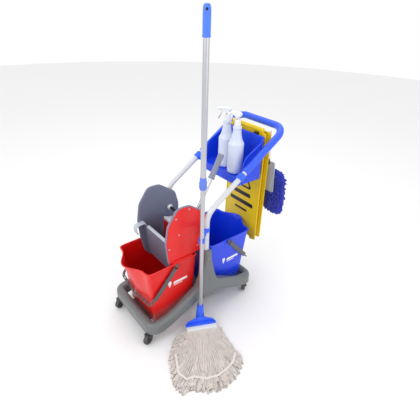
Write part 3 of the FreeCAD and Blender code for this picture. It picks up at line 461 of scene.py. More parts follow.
def slab(outline, low, high, edge, plane="yz", steps=3, low_edge=None):
    """A plate: the outline carried from low to high with quarter-round edges of that radius.

    The outline is in the named plane; low and high lie along the third direction.
    """
    normal = outward(outline) * np.sign(signed_area(outline))
    low_edge = edge if low_edge is None else low_edge
    angles = np.linspace(0, math.pi / 2, steps + 1)
    levels = [(low + low_edge * (1 - math.cos(a)), low_edge * (1 - math.sin(a))) for a in angles]
    levels += [(high - edge * (1 - math.cos(a)), edge * (1 - math.sin(a))) for a in angles[::-1]]
    order = {"yz": (2, 0, 1), "xz": (0, 2, 1), "xy": (0, 1, 2)}[plane]
    rings = [np.column_stack([outline - normal * back, np.full(len(outline), level)])[:, order]
             for level, back in levels]
    return skin(rings)


def box(low, high, edge=1.5, plane="xy"):
    """A rectangular block with rounded edges, between two opposite corners."""
    a, b, c = {"xy": (0, 1, 2), "xz": (0, 2, 1), "yz": (1, 2, 0)}[plane]
    corners = [(low[a], low[b], edge), (high[a], low[b], edge), (high[a], high[b], edge),
               (low[a], high[b], edge)]
    return slab(rounded(corners, 3), low[c], high[c], edge * 0.7, plane, 2)


def across(path, hint):
    """Two unit vectors across each point of a path, turned as little as possible along it."""
    way = np.gradient(path, axis=0)
    way = way / np.linalg.norm(way, axis=1, keepdims=True)
    side = np.cross(way[0], hint)
    sides = [side / np.linalg.norm(side)]
    for step in way[1:]:
        side = sides[-1] - step * (sides[-1] @ step)
        sides.append(side / np.linalg.norm(side))
    sides = np.array(sides)
    return sides, np.cross(way, sides)


def sweep(path, section, hint=(0.3, 0.2, 1.0), scale=None):
    """A closed section (k, 2) carried along a path (n, 3); scale changes its size on the way."""
    path = np.asarray(path, float)
    first, second = across(path, np.asarray(hint, float))
    scale = np.ones(len(path)) if scale is None else np.asarray(scale)
    flat = section[None] * scale[:, None, None]
    return skin(path[:, None] + flat[..., :1] * first[:, None] + flat[..., 1:] * second[:, None])


def bent_path(points, bends, steps=14, spacing=20):
    """Straight runs through points in space, joined by tangent arcs of the given radii."""
    points = [np.array(p, float) for p in points]
    line = [points[0][None]]
    for i, radius in enumerate(bends, start=1):
        before, after = points[i - 1] - points[i], points[i + 1] - points[i]
        before, after = before / np.linalg.norm(before), after / np.linalg.norm(after)
        half = math.acos(np.clip(before @ after, -1, 1)) / 2
        middle = (before + after) / np.linalg.norm(before + after)
        centre = points[i] + middle * radius / math.sin(half)
        start = points[i] + before * radius / math.tan(half) - centre
        angles = np.linspace(0, math.pi - 2 * half, steps)[:, None]
        line.append(centre + start * np.cos(angles) - before * radius * np.sin(angles))
    line.append(points[-1][None])
    return dense(np.concatenate(line), spacing, closed=False)


def lathe(corners, place, axis=(0, 0, 1), count=40, steps=4, ribs=0, depth=0.0, rib_span=(0, 0)):
    """A profile of (radius, height, corner radius) turned about an axis through place.

    Between the heights of rib_span the radius swells and shrinks ribs times round, by depth.
    """
    axis = np.array(axis, float) / np.linalg.norm(axis)
    helper = np.array([0, 0, 1.0]) if abs(axis[2]) < 0.9 else np.array([1.0, 0, 0])
    first = np.cross(helper, axis)
    first = first / np.linalg.norm(first)
    second = np.cross(axis, first)
    angles = np.linspace(0, TAU, count, endpoint=False)
    spoke = np.cos(angles)[:, None] * first + np.sin(angles)[:, None] * second
    profile = rounded(corners, steps, closed=False)
    if ribs:
        profile = dense(profile, 2.0, closed=False)
    inside = (profile[:, 1] > rib_span[0]) & (profile[:, 1] < rib_span[1])
    radius = profile[:, :1] + depth * inside[:, None] * np.cos(ribs * angles)[None]
    rings = np.asarray(place, float) + profile[:, None, 1:] * axis + radius[..., None] * spoke[None]
    return skin(rings, capped=False)


def eased(x, start, end):
    """0 before start, 1 after end, and a smooth step between."""
    t = np.clip((x - start) / (end - start), 0, 1)
    return t * t * (3 - 2 * t)


def slatted(xs, ys, keep, low, high):
    """A flat plate made of the cells of a grid that keep(x, y) allows, closed all round."""
    xs, ys = np.array(xs, float), np.array(ys, float)
    mid_x, mid_y = (xs[1:] + xs[:-1]) / 2, (ys[1:] + ys[:-1]) / 2
    kept = np.array([[keep(x, y) for y in mid_y] for x in mid_x])
    kept = np.pad(kept, 1)
    shapes = []
    for i, j in zip(*np.nonzero(kept)):
        x0, x1, y0, y1 = xs[i - 1], xs[i], ys[j - 1], ys[j]
        corner = np.array([(x0, y0, low), (x1, y0, low), (x1, y1, low), (x0, y1, low),
                           (x0, y0, high), (x1, y0, high), (x1, y1, high), (x0, y1, high)])
        faces = [[3, 2, 1, 0], [4, 5, 6, 7]]
        sides = (((0, -1), [0, 1, 5, 4]), ((1, 0), [1, 2, 6, 5]), ((0, 1), [2, 3, 7, 6]),
                 ((-1, 0), [3, 0, 4, 7]))
        faces += [face for (di, dj), face in sides if not kept[i + di, j + dj]]
        shapes.append((corner, faces))
    return join(*shapes)


def perforated(columns, rows, pitch_x, pitch_z, radius, low, high, x0, z0):
    """A plate of square cells in the xz plane, each with a round hole of eight sides."""
    angles = np.linspace(0, TAU, 8, endpoint=False)
    square = np.stack([np.cos(angles), np.sin(angles)], 1)
    square = square / np.abs(square).max(axis=1, keepdims=True)
    hole = np.stack([np.cos(angles), np.sin(angles)], 1) * radius
    loops = [(square * [pitch_x / 2, pitch_z / 2], low), (square * [pitch_x / 2, pitch_z / 2], high),
             (hole, high), (hole, low)]
    cell = np.array([np.column_stack([loop[:, 0], np.full(8, y), loop[:, 1]]) for loop, y in loops])
    i, j = np.meshgrid(np.arange(columns), np.arange(rows), indexing="ij")
    middle = np.stack([x0 + (i + 0.5) * pitch_x, np.zeros_like(i, float), z0 + (j + 0.5) * pitch_z], -1)
    middle = middle.reshape(-1, 1, 1, 3)
    points = (cell[None] + middle).reshape(-1, 3)
    k = np.arange(8)
    ring = []
    for a, b in ((1, 2), (2, 3), (3, 0)):
        ring.append(np.stack([a * 8 + k, a * 8 + (k + 1) % 8, b * 8 + (k + 1) % 8, b * 8 + k], 1))
    quads = np.concatenate(ring)
    faces = (quads[None] + (np.arange(columns * rows) * 32)[:, None, None]).reshape(-1, 4).tolist()
    x1, z1 = x0 + columns * pitch_x, z0 + rows * pitch_z
    rim = []
    for start, end in (((x0, z0), (x1, z0)), ((x1, z0), (x1, z1)), ((x1, z1), (x0, z1)),
                       ((x0, z1), (x0, z0))):
        count = 2 * (columns if start[1] == end[1] else rows) + 1
        line = np.linspace(start, end, count)
        rim.append((np.concatenate([np.insert(line, 1, low, axis=1), np.insert(line, 1, high, axis=1)]),
                    grid_faces(2, count)))
    return join((points, faces), *rim)


# ---------------------------------------------------------------- chassis

HALF, FRONT, REAR, RIM, CORNER = 208.0, -376.0, 360.0, 46.0, 60.0
WING = ((330, 131, 60), (260, 142, 160), (205, 163, 160), (125, 207, 160), (66, 236, 26),
        (47, 290, 90), (22, 390, 90), (20, 458, 11))
UNDER = np.array([(-400, 69), (-300, 69), (-250, 84), (-170, 118), (-90, 153), (-40, 166), (40, 166),
                  (90, 153), (170, 118), (250, 84), (300, 69), (400, 69)], float)
CASTORS = {"fr": (161, -345, 20), "fl": (-161, -345, 20), "rr": (161, 334, 40), "rl": (-161, 334, -14)}


def rim_stations():
    """Places round the rim: plan centre, outward direction, top height, profile normal."""
    rear, front = [(y, z, r) for y, z, r in WING], [(-y, z, r) for y, z, r in WING]
    start, end = FRONT + CORNER, REAR - CORNER
    path = rounded([(-400, 131)] + front + rear[::-1] + [(400, 131)], 9, closed=False)
    path = path[np.concatenate([[True], np.linalg.norm(np.diff(path, axis=0), axis=1) > 0.05])]
    path = dense(path, 9, closed=False)
    along = (path[:, 0] >= start) & (path[:, 0] <= end)
    line, normal = path[along], -outward(path, closed=False)[along]
    inset = CORNER - RIM / 2
    centre, away, top, lean = [], [], [], []

    def put(x, y, ex, ey, z=None, ny=0.0, nz=1.0):
        centre.append((x, y))
        away.append((ex, ey))
        top.append(np.interp(y, path[:, 0], path[:, 1]) if z is None else z)
        lean.append((ny, nz))

    for (y, z), (ny, nz) in zip(line, normal):
        put(HALF - RIM / 2, y, 1, 0, z, ny, nz)
    for a in np.radians(np.linspace(0, 90, 14)):
        put(HALF - CORNER + inset * math.cos(a), end + inset * math.sin(a), math.cos(a), math.sin(a))
    for x in np.linspace(HALF - CORNER, CORNER - HALF, 22)[1:-1]:
        put(x, REAR - RIM / 2, 0, 1)
    for a in np.radians(np.linspace(90, 180, 14)):
        put(CORNER - HALF + inset * math.cos(a), end + inset * math.sin(a), math.cos(a), math.sin(a))
    for (y, z), (ny, nz) in zip(line[::-1], normal[::-1]):
        put(RIM / 2 - HALF, y, -1, 0, z, ny, nz)
    for a in np.radians(np.linspace(180, 270, 14)):
        put(CORNER - HALF + inset * math.cos(a), start + inset * math.sin(a), math.cos(a), math.sin(a))
    for x in np.linspace(CORNER - HALF, HALF - CORNER, 22)[1:-1]:
        put(x, FRONT + RIM / 2, 0, -1)
    for a in np.radians(np.linspace(270, 360, 14)):
        put(HALF - CORNER + inset * math.cos(a), start + inset * math.sin(a), math.cos(a), math.sin(a))
    return np.array(centre), np.array(away), np.array(top), np.array(lean)


def chassis_shell():
    """Rim, wings and tube sleeves as one moulding: an upturned channel with a round back.

    At each station round the plan the section is two walls joined by a half-round top, set square
    to the side profile; the radius of the round falls from the rim to the sleeves.
    """
    centre, away, top, lean = rim_stations()
    n = len(centre)
    raised = eased(top, 150, 250)
    radius = 21.5 - 11.5 * raised
    half = RIM / 2 - 0.8 * eased(top, 215, 250) - 0.6 * eased(top, 380, 458)
    bottom = np.interp(centre[:, 1], *UNDER.T)
    ceiling = bottom + 19.5
    rings = []

    def layer(offset, height=None, depth=0.0):
        place = np.zeros((n, 3))
        place[:, :2] = centre + away * np.reshape(offset, (-1, 1))
        place[:, 1] -= lean[:, 0] * depth
        place[:, 2] = top - lean[:, 1] * depth if height is None else height
        rings.append(place)

    shift_y = -lean[:, 0] * radius
    for side in (1, -1):
        walls = [(half - 4, ceiling), (half - 4, bottom), (half, bottom)]
        if side > 0:
            walls += [(half, bottom + 7.5), (half - 0.8, bottom + 8.0), (half - 0.8, bottom + 9.4),
                      (half, bottom + 10)]
        turns = np.linspace(0, math.pi / 2, 9)
        arc = [(side * ((half - radius) + radius * math.cos(a)), radius * (1 - math.sin(a))) for a in turns]
        if side > 0:
            for offset, height in walls:
                layer(offset, height)
                rings[-1][:, 1] += shift_y
            for offset, depth in arc:
                layer(offset, None, depth)
        else:
            for offset, depth in arc[::-1]:
                layer(offset, None, depth)
            for offset, height in walls[::-1]:
                layer(-offset, height)
                rings[-1][:, 1] += shift_y
    return band(rings)


def make_chassis():
    """The shell, its socket lugs, the bridge between them and the slotted floor."""
    lug = [(-30, 142, 5), (35, 142, 5), (35, 176, 2), (-30, 176, 2)]
    lugs = [slab(rounded(lug, 4), *sorted((side * 163, side * 206.5)), 3) for side in (-1, 1)]
    xs = (-125, -99, -95, -77, -55, -33, -11, 11, 33, 55, 77, 95, 99, 125)
    ys = (-332, -300, -245, -95, 113, 263, 300, 316)

    def keep(x, y):
        slot = 10 < abs(abs(x) % 44 - 22) and abs(x) < 99
        in_slot = (-245 < y < -95 or 113 < y < 263) and slot
        return not in_slot and (abs(y) < 300 or abs(x) < 95)

    floor = slatted(xs, ys, keep, 66, 72)
    bridge = box((-166, -16, 144), (166, 34, 156), 2)
    rib = box((-120, 1, 66), (120, 17, 146), 1)
    piece("chassis", join(chassis_shell(), *lugs, floor, bridge, rib), "cart",
          grey_moulding, ("base_tray", "tower_left", "tower_right"), 40)
    screws = [lathe([(0, 0), (2.4, 0), (2.4, 22), (6, 22, 0.6), (6, 23.6, 1.2), (3.2, 25.2, 1), (2.6, 25.2),
                     (2.2, 23.6), (0, 23.6)], (side * 183.8, -3, 407), (side, 0, 0), 24) for side in (-1, 1)]
    piece("sleeve_screws", join(*screws), "cart", zinc_steel, ("frame_screws",))


def make_castors():
    """Each castor: swivel plate with a ball race, pressed fork, ribbed hub and rounded tyre."""
    plates = []
    for corner, (x, y, turn) in CASTORS.items():
        plates.append(lathe([(6.05, 84), (24, 84, 1.2), (24, 88, 1), (6.05, 88), (6.05, 84)], (x, y, 0)))
        here = {"move": (x, y, 0), "turn": turn}
        leg = rounded([(-37, 67.5, 3), (15, 67.5, 3), (2, 54, 12), (-17, 25, 9), (-37, 25, 9)], 6)
        crown = rounded([(-15.6, -37, 8), (15.6, -37, 8), (16, 16, 14), (-16, 16, 14)], 6)
        race = lathe([(0, 63.6), (18, 63.6), (18, 69, 2), (20.5, 72, 2), (20.5, 78, 2), (17, 83.6, 3),
                      (6, 83.6), (6, 87), (0, 87)], (0, 0, 0))
        nuts = [lathe([(0, 0), (6.2, 0), (6.2, 3.4, 1), (0, 3.4)], (side * 15.6, -27, 31), (side, 0, 0), 6)
                for side in (-1, 1)]
        axle = lathe([(0, -16), (3.9, -16), (3.9, 16), (0, 16)], (0, -27, 31), (1, 0, 0), 20)
        fork = join(slab(leg, 12.6, 15.6, 1), slab(leg, -15.6, -12.6, 1),
                    slab(crown, 63.5, 67.5, 1.4, "xy"), race, axle, *nuts)
        piece("castor_fork_shell_" + corner, placed(fork, **here), "castor_" + corner,
              black_plastic, ("castor_fork_" + corner,))
        hub = lathe([(4.05, -12), (8.5, -12, 1), (10, -5, 2), (16.5, -4, 1), (20, -9, 1), (23.5, -9, 0.5),
                     (25, -9), (25, 9), (23.5, 9, 0.5), (20, 9, 1), (16.5, 4, 1), (10, 5, 2), (8.5, 12, 1),
                     (4.05, 12), (4.05, -12)], (0, -27, 31), (1, 0, 0), 36)
        piece("castor_wheel_" + corner, placed(hub, **here), "wheel_" + corner,
              castor_hub_grey, ("castor_hub_" + corner,))
        tyre = lathe([(25, -10), (27, -11, 1), (30, -8, 2.5), (31, -4, 4), (31, 4, 4), (30, 8, 2.5),
                      (27, 11, 1), (25, 10), (25, -10)], (0, -27, 31), (1, 0, 0), 48)
        piece("castor_tread_" + corner, placed(tyre, **here), "wheel_" + corner,
              black_rubber, ("castor_tyre_" + corner,))
    piece("castor_swivel_plates", join(*plates), "cart", zinc_steel, ("castor_plates",))


# ---------------------------------------------------------------- handle

TUBE_X, BEND_Z, BAR_Y, BAR_Z = 177.0, 665.0, 512.0, 1010.0
SLOPE = (BAR_Z - BEND_Z) / BAR_Y


def slope_z(y):
    return BEND_Z + y * SLOPE


def make_handle():
    """Bent tube from socket to socket, with a soft sleeve over the slope and the crossbar."""
    x = TUBE_X
    path = bent_path([(-x, 0, 152), (-x, 0, BEND_Z), (-x, BAR_Y, BAR_Z), (x, BAR_Y, BAR_Z),
                      (x, 0, BEND_Z), (x, 0, 152)], [95, 66, 66, 95], 18)
    piece("handle_bar", sweep(path, circle(14, 36)), "cart", white_lacquer, ("handle_tube",))
    path = bent_path([(-x, 240, slope_z(240)), (-x, BAR_Y, BAR_Z), (x, BAR_Y, BAR_Z),
                      (x, 240, slope_z(240))], [66, 66], 18, 5)
    length = np.concatenate([[0], np.cumsum(np.linalg.norm(np.diff(path, axis=0), axis=1))])
    from_end = np.minimum(length, length[-1] - length)
    scale = 0.77 + 0.23 * np.sqrt(np.clip(1 - (1 - from_end / 4) ** 2, 0, 1) * (from_end < 4)
                                  + (from_end >= 4))
    collar = 0.035 * (eased(from_end, 3, 6) - eased(from_end, 24, 27))
    section = np.array([(r * math.cos(a), r * math.sin(a)) for a, r in
                        ((a, 19 + 0.12 * math.cos(12 * a)) for a in np.linspace(0, TAU, 48, False))])
    piece("handle_sleeve", sweep(path, section, (0, 1, 0.3), scale + collar), "cart",
          blue_grip, ("handle_grip",))


# ---------------------------------------------------------------- buckets

FLOOR, BUCKET_RIM = 72.0, 428.0
BAIL_Z = 411.0


def bucket_line(z, grow, end, count=220):
    """The bucket's outline at height z, grown outwards: a superellipse with a cosine spout.

    Its power is 13 on the outer half and 24 on the inner one; the angle steps shrink near corners.
    """
    part = (z - FLOOR) / (BUCKET_RIM - FLOOR)
    half_width, half_length = 139 + part * 10.5 + grow, 122 + part * 24.5 + grow
    middle, spout = 180.5 + part * (14.5 + 6 * end), 1 + part * part * 55
    angle = TAU * (np.arange(count) + 0.5) / count
    angle = angle + 0.17 * np.sin(4 * angle)
    c, s = np.cos(angle), np.sin(angle)
    power = np.where(s > 0, 13.0, 24.0)
    scale = (np.abs(c) ** power + np.abs(s) ** power) ** (-1 / power)
    x, along = half_width * c * scale, half_length * s * scale
    bulge = (s > 0) & (np.abs(x) < 114)
    along = along + bulge * spout * 0.5 * (1 + np.cos(np.pi * x / 114))
    return np.column_stack([x, end * (middle + along), np.full(count, z)])


def make_bucket(name, end, body, material):
    """Outer wall from a stepped foot to a rolled rim, then the inner wall and the floor."""
    bottom = FLOOR + 0.4
    levels = [(bottom, -60), (bottom, -9), (bottom + 1.2, -4.6), (bottom + 4.5, -1.8), (bottom + 9, -1.6),
              (112, -1.6), (114, -1.2), (116, 0), (200, 0), (300, 0), (400, 0), (416, 0), (418.5, 0.6),
              (420, 2.4), (421, 3.9), (423, 4.5), (425.2, 4.1), (427.2, 2.6), (428, 0.6), (427.4, -1.4),
              (425.5, -2.5), (400, -2.5), (300, -2.5), (200, -2.5), (84, -2.5), (78, -4), (75.6, -9),
              (75.4, -60)]
    rings = [bucket_line(z, grow, end) for z, grow in levels]
    wall = skin(rings)
    bosses = []
    y = end * (178 + 6 * end)
    for side in (-1, 1):
        bosses.append(lathe([(0, 0), (16, 0), (14, 4, 2), (13, 6.6, 1), (4.4, 6.6), (3.9, 12.6, 0.8),
                             (0, 12.8)],
                            (side * 148.4, y, BAIL_Z), (side, 0, 0), 32))
    ribs = []
    for side in (-1, 1):
        for shift in (-26, 26):
            ribs.append(box((side * 148.6 - 2, y + shift - 2, 396), (side * 148.6 + 2, y + shift + 2, 422),
                            1))
    piece(name + "_shell", join(wall, *bosses, *ribs), body, material, (name,), 50)


def drop_badge(y, height):
    """A plain raised water drop and a bar beside it, on the bucket's right-hand side wall."""
    t = np.linspace(0, TAU, 48, endpoint=False)
    drop = np.column_stack([15 * np.sin(t) * np.sin(t / 2) ** 1.6, -22 * np.cos(t)])
    bar = rounded([(24, -7, 4), (110, -7, 4), (110, 8, 4), (24, 8, 4)], 5)
    small = rounded([(24, -18, 2), (80, -18, 2), (80, -13, 2), (24, -13, 2)], 4)
    shapes = []
    for line in (drop, bar, small):
        line = dense(line, 6)
        normal = outward(line) * np.sign(signed_area(line))
        rings = []
        for lift, back in ((-1.0, 0), (0.35, 0), (0.7, 0.4)):
            flat = line - normal * back
            z = height + flat[:, 1]
            half_width = 139 + (z - FLOOR) / (BUCKET_RIM - FLOOR) * 10.5
            rings.append(np.column_stack([half_width + lift, y + flat[:, 0], z]))
        shapes.append(skin(rings))
    return join(*shapes)


def make_bail(name, end, body):
    """Bail with flat sides and round ears, whose crossbar is a ladder lying in the bail's plane.

    Its line in plan is a half frame with rounded corners; rings of a chamfered section run along
    it, and between the rungs the section is split into two rails.
    """
    half, reach, thick, width = 160.0, 264.0, 3.5, 25.0
    line = rounded([(-half, 0), (-half, reach - 14, 30), (0, reach, 400), (half, reach - 14, 30), (half, 0)],
                   12, closed=False)
    line = dense(line, 4, closed=False)
    inner = line - outward(line, closed=False) * -thick
    length = np.concatenate([[0], np.cumsum(np.linalg.norm(np.diff(line, axis=0), axis=1))])
    from_middle = length - length[-1] / 2
    pitch, slot_half, ladder, rail, deep = 31.0, 12.5, 196.0, 4.0, 15.0
    crossbar = np.abs(from_middle) < ladder
    slot = (np.abs(from_middle - np.round(from_middle / pitch) * pitch) < slot_half) & crossbar
    shapes = []

    def strip(chosen, low, high, near, far):
        inward = (inner[chosen] - line[chosen]) / thick
        a, b = line[chosen] + inward * near, line[chosen] + inward * far
        e = 0.9
        rows = [np.column_stack([a, np.full(len(a), low + e)]),
                np.column_stack([a, np.full(len(a), high - e)]),
                np.column_stack([a + inward * e, np.full(len(a), high)]),
                np.column_stack([b - inward * e, np.full(len(a), high)]),
                np.column_stack([b, np.full(len(a), high - e)]),
                np.column_stack([b, np.full(len(a), low + e)]),
                np.column_stack([b - inward * e, np.full(len(a), low)]),
                np.column_stack([a + inward * e, np.full(len(a), low)])]
        shapes.append(skin(np.stack(rows, 1)))

    kind = crossbar.astype(int) + slot
    runs = np.split(np.arange(len(line)), np.nonzero(np.diff(kind))[0] + 1)
    for run in runs:
        lengthened = np.arange(run[0], min(run[-1] + 2, len(line)))
        if kind[run[0]] == 0:
            strip(lengthened, -width / 2, width / 2, 0, thick)
        elif kind[run[0]] == 1:
            strip(lengthened, -3.5, 3.5, 0, deep)
        else:
            strip(lengthened, -3.5, 3.5, 0, rail)
            strip(lengthened, -3.5, 3.5, deep - rail, deep)
    for side in (-1, 1):
        shapes.append(lathe([(4.2, -thick), (14, -thick, 0.8), (14, 0, 0.8), (7, 0), (6, 1.6, 0.6),
                             (4.2, 1.6),
                             (4.2, -thick)], (side * half, 0, 0), (side, 0, 0), 32))
    bail = placed(join(*shapes), tilt=-49)
    spot = (0, end * (178 + 6 * end), BAIL_Z)
    piece(name + "_strap", placed(bail, spot, turn=180 if end < 0 else 0), body,
          grey_bail, (name,), 30)


# ---------------------------------------------------------------- wringer

SIDE_PLATE = ((-80, 731, 60), (-150, 733, 45), (-208, 650, 60), (-224, 555, 80), (-214, 450, 60),
              (-192, 345, 30), (-160, 304, 18), (-90, 308, 26), (-56, 337, 12), (-58, 433, 6),
              (20, 437, 22), (37, 490, 40), (41, 580, 50), (20, 660, 50))
PLATE_IN, PLATE_OUT, COVER_OUT = 130.0, 139.0, 142.0
SHAFT_Y, SHAFT_Z = -20.0, 573.0
PRESS = {"move": (0, -158, 322), "tilt": math.degrees(math.atan2(32, 216))}
COVER_SCREWS = ((-83, 710), (-160, 680), (-144, 584), (-203, 520), (-30, 474))


def dished(outline, inner, outer, lip, sink):
    """A plate whose inner face falls in a soft dish from its lip to its middle.

    Rings shrink from the rim to the centre, and each sinks by a smooth step of its shrinkage.
    """
    normal = outward(outline) * np.sign(signed_area(outline))
    middle = outline.mean(axis=0)
    rings = []
    for back, x in ((3, outer), (0.9, outer - (outer - inner) * 0.1), (0, outer - (outer - inner) * 0.3),
                    (0, inner + (outer - inner) * 0.3), (0.9, inner + (outer - inner) * 0.1), (3, inner)):
        rings.append(np.column_stack([np.full(len(outline), x), outline - normal * back]))
    for part in np.linspace(0, 1, 12):
        flat = (outline - normal * lip) * (1 - part) + middle * part
        deep = inner + (outer - inner) * sink * eased(part, 0, 0.22)
        rings.append(np.column_stack([np.full(len(outline), deep), flat]))
    return skin(rings)


def make_wringer():
    """Side plates, inset covers, screws, perforated front plate, its strip and the sponge hook."""
    outline = dense(rounded(SIDE_PLATE, 8), 14)
    inset = [(-91 + (y + 91) * 0.955, 520 + (z - 520) * 0.972, r) for y, z, r in SIDE_PLATE]
    inset = dense(rounded(inset, 8), 14)
    for name, side in (("right", 1), ("left", -1)):
        plate = dished(outline, side * PLATE_IN, side * PLATE_OUT, 9, 0.3)
        piece("wringer_side_" + name, plate, "wringer", wringer_grey,
              ("wringer_plate_" + name,), 40)
        skin_low, skin_high = sorted((side * (PLATE_OUT - 0.5), side * COVER_OUT))
        edges = (0.3, 2.0) if side > 0 else (2.0, 0.3)
        cover = slab(inset, skin_low, skin_high, edges[1], low_edge=edges[0])
        ledge_x = sorted((side * 141, side * 150))
        ledge = box((ledge_x[0], -190, BUCKET_RIM + 0.5), (ledge_x[1], -70, BUCKET_RIM + 8.5), 2.4)
        swell = lathe([(0, 0), (17, 0), (15, 2.4, 2), (6, 3.2, 3), (0, 3.2)],
                      (side * (COVER_OUT - 0.4), SHAFT_Y, SHAFT_Z), (side, 0, 0), 36)
        piece("wringer_skin_" + name, join(cover, ledge, swell), "wringer", red_cover,
              ("wringer_cover_" + name,), 40)
    screws = [lathe([(0, -1), (5, -1), (5, 0.8, 0.8), (4, 2, 1), (2.2, 2.2), (1.8, 0.9), (0, 0.9)],
                    (side * COVER_OUT, y, z), (side, 0, 0), 20) for side in (-1, 1) for y, z in COVER_SCREWS]
    piece("cover_screws", join(*screws), "wringer", zinc_screw, ("wringer_screws",))
    plate = join(perforated(36, 29, 7, 7, 2.1, -4, 0, -126, 6),
                 box((-129.6, -4.2, 0), (129.6, 0.2, 6.2), 1), box((-129.6, -4.2, 6), (-125.8, 0.2, 218), 1),
                 box((125.8, -4.2, 6), (129.6, 0.2, 218), 1), box((-129.6, -4.2, 208.8), (129.6, 0.2, 218),
                                                                  1))
    piece("front_press_sheet", placed(plate, **PRESS), "wringer", wringer_grey,
          ("front_press_plate",))
    strip_line = [(-72, -12, 1), (112, -12, 1), (128, -4, 2), (112, 4, 1), (-72, 4, 1)]
    strip = slab(rounded(strip_line, 3), 218.2, 226.5, 1.6, "xy")
    strip_screws = [lathe([(0, 0), (4.5, 0), (4.2, 1.6, 1), (1.6, 2), (1.4, 1), (0, 1)], (x, -4, 226.4),
                          (0, 0, 1), 16) for x in (-54, 96)]
    curl = rounded([(-3, 216), (-3, 229, 4), (-58, 232, 13), (-64, 190, 4), (-56, 185)], 7, closed=False)
    curl = dense(curl, 5, closed=False)
    along = outward(curl, closed=False)
    loop = np.concatenate([curl + along * 1.9, (curl - along * 1.9)[::-1]])
    hook = slab(loop, -128, -94, 1.2)
    piece("front_strip", placed(join(strip, *strip_screws, hook), **PRESS), "wringer",
          clear_hook, ("front_plate_strip",))
    bushes = [lathe([(9.05, 0), (16, 0, 1), (16, 5, 1), (13.5, 6, 1), (13.5, 13.8, 2), (9.05, 13.8),
                     (9.05, 0)],
                    (side * 129.8, SHAFT_Y, SHAFT_Z), (-side, 0, 0)) for side in (-1, 1)]
    piece("shaft_collars", join(*bushes), "wringer", white_plastic, ("shaft_bushes",))


def make_lever():
    """Shaft, welded lever with a socket eye, ribbed grip and the nylon cam that drives the jaw."""
    shaft = lathe([(0, -135.5), (9, -135.5, 1), (9, 135.5, 1), (0, 135.5)], (0, SHAFT_Y, SHAFT_Z), (1, 0, 0),
                  36)
    piece("press_shaft", shaft, "lever", dark_steel, ("wringer_shaft",))
    a = math.radians(61.8)
    along = np.array([0, math.cos(a), math.sin(a)])
    root = np.array([78, SHAFT_Y, SHAFT_Z])
    arm = lathe([(0, 8), (9.5, 8), (9.5, 366, 2), (0, 366)], root, along, 36)
    eye = lathe([(9, -13), (16, -13, 2), (16, 13, 2), (9, 13), (9, -13)], root, (1, 0, 0))
    weld = lathe([(0, 10), (13.5, 12), (10.8, 17, 5), (9.2, 22), (0, 22)], root, along, 36)
    piece("lever_bar", join(arm, eye, weld), "lever", polished_steel, ("lever_tube",))
    grip = lathe([(9.5, 253), (17, 253, 1.5), (17.4, 258, 1.5), (15.2, 266, 2), (14.8, 320, 30),
                  (15.6, 372, 8),
                  (16.8, 380, 3), (12, 388, 5), (0, 388)], root, along, 48, 5, 12, 0.5, (264, 376))
    piece("lever_handgrip", grip, "lever", lever_grey, ("lever_grip",), 50)
    cam = rounded([(-18, 588, 12), (-2, 594, 14), (4, 560, 14), (-18, 549, 12), (-42, 552, 12),
                   (-44, 578, 14)], 8)
    piece("press_cam", slab(cam, -62, -32, 2), "lever", wringer_grey, ("lever_cam",))


def make_jaw():
    """Moving press plate on its bottom barrel, and the angled bracket the cam leans on."""
    panel = join(perforated(30, 22, 7.6, 7.6, 2.2, -71, -66, -114, 347),
                 box((-118, -71.2, 335), (118, -65.8, 347.4), 1),
                 box((-118, -71.2, 347), (-113.8, -65.8, 519), 1),
                 box((113.8, -71.2, 347), (118, -65.8, 519), 1),
                 box((-118, -71.2, 514), (118, -65.8, 519), 1))
    barrel = lathe([(4, -118), (8, -118, 1), (8, 118, 1), (4, 118), (4, -118)], (0, -66, 335), (1, 0, 0), 28)
    pin = lathe([(0, -138.5), (4, -138.5, 0.6), (4, 138.5, 0.6), (0, 138.5)], (0, -66, 335), (1, 0, 0), 24)
    piece("jaw_sheet", join(panel, barrel, pin), "jaw", press_red, ("press_jaw",))
    angle = rounded([(-71, 519.2, 1), (-21, 519.2, 2), (-21, 524, 2), (-64, 524.4, 4), (-64.6, 536.8, 1),
                     (-71, 536.8, 1)], 4)
    slope = [slab(rounded([(-66, 523), (-26, 523), (-66, 536)], 2), x - 2, x + 2, 0.6)
             for x in (-108, -58, -8, 42, 84)]
    piece("jaw_angle", join(slab(angle, -112, 88, 1.2), *slope), "jaw", white_plastic,
          ("jaw_bracket",))


# ---------------------------------------------------------------- caddy and bottles

def caddy_top(y):
    """Height of the caddy's open edge along y: a low lip, a steep side rise, then the back wall."""
    return np.interp(y, (221, 232, 238, 252, 262, 272, 364, 372, 378),
                     (790, 790, 797, 868, 892, 899, 950, 966, 976))


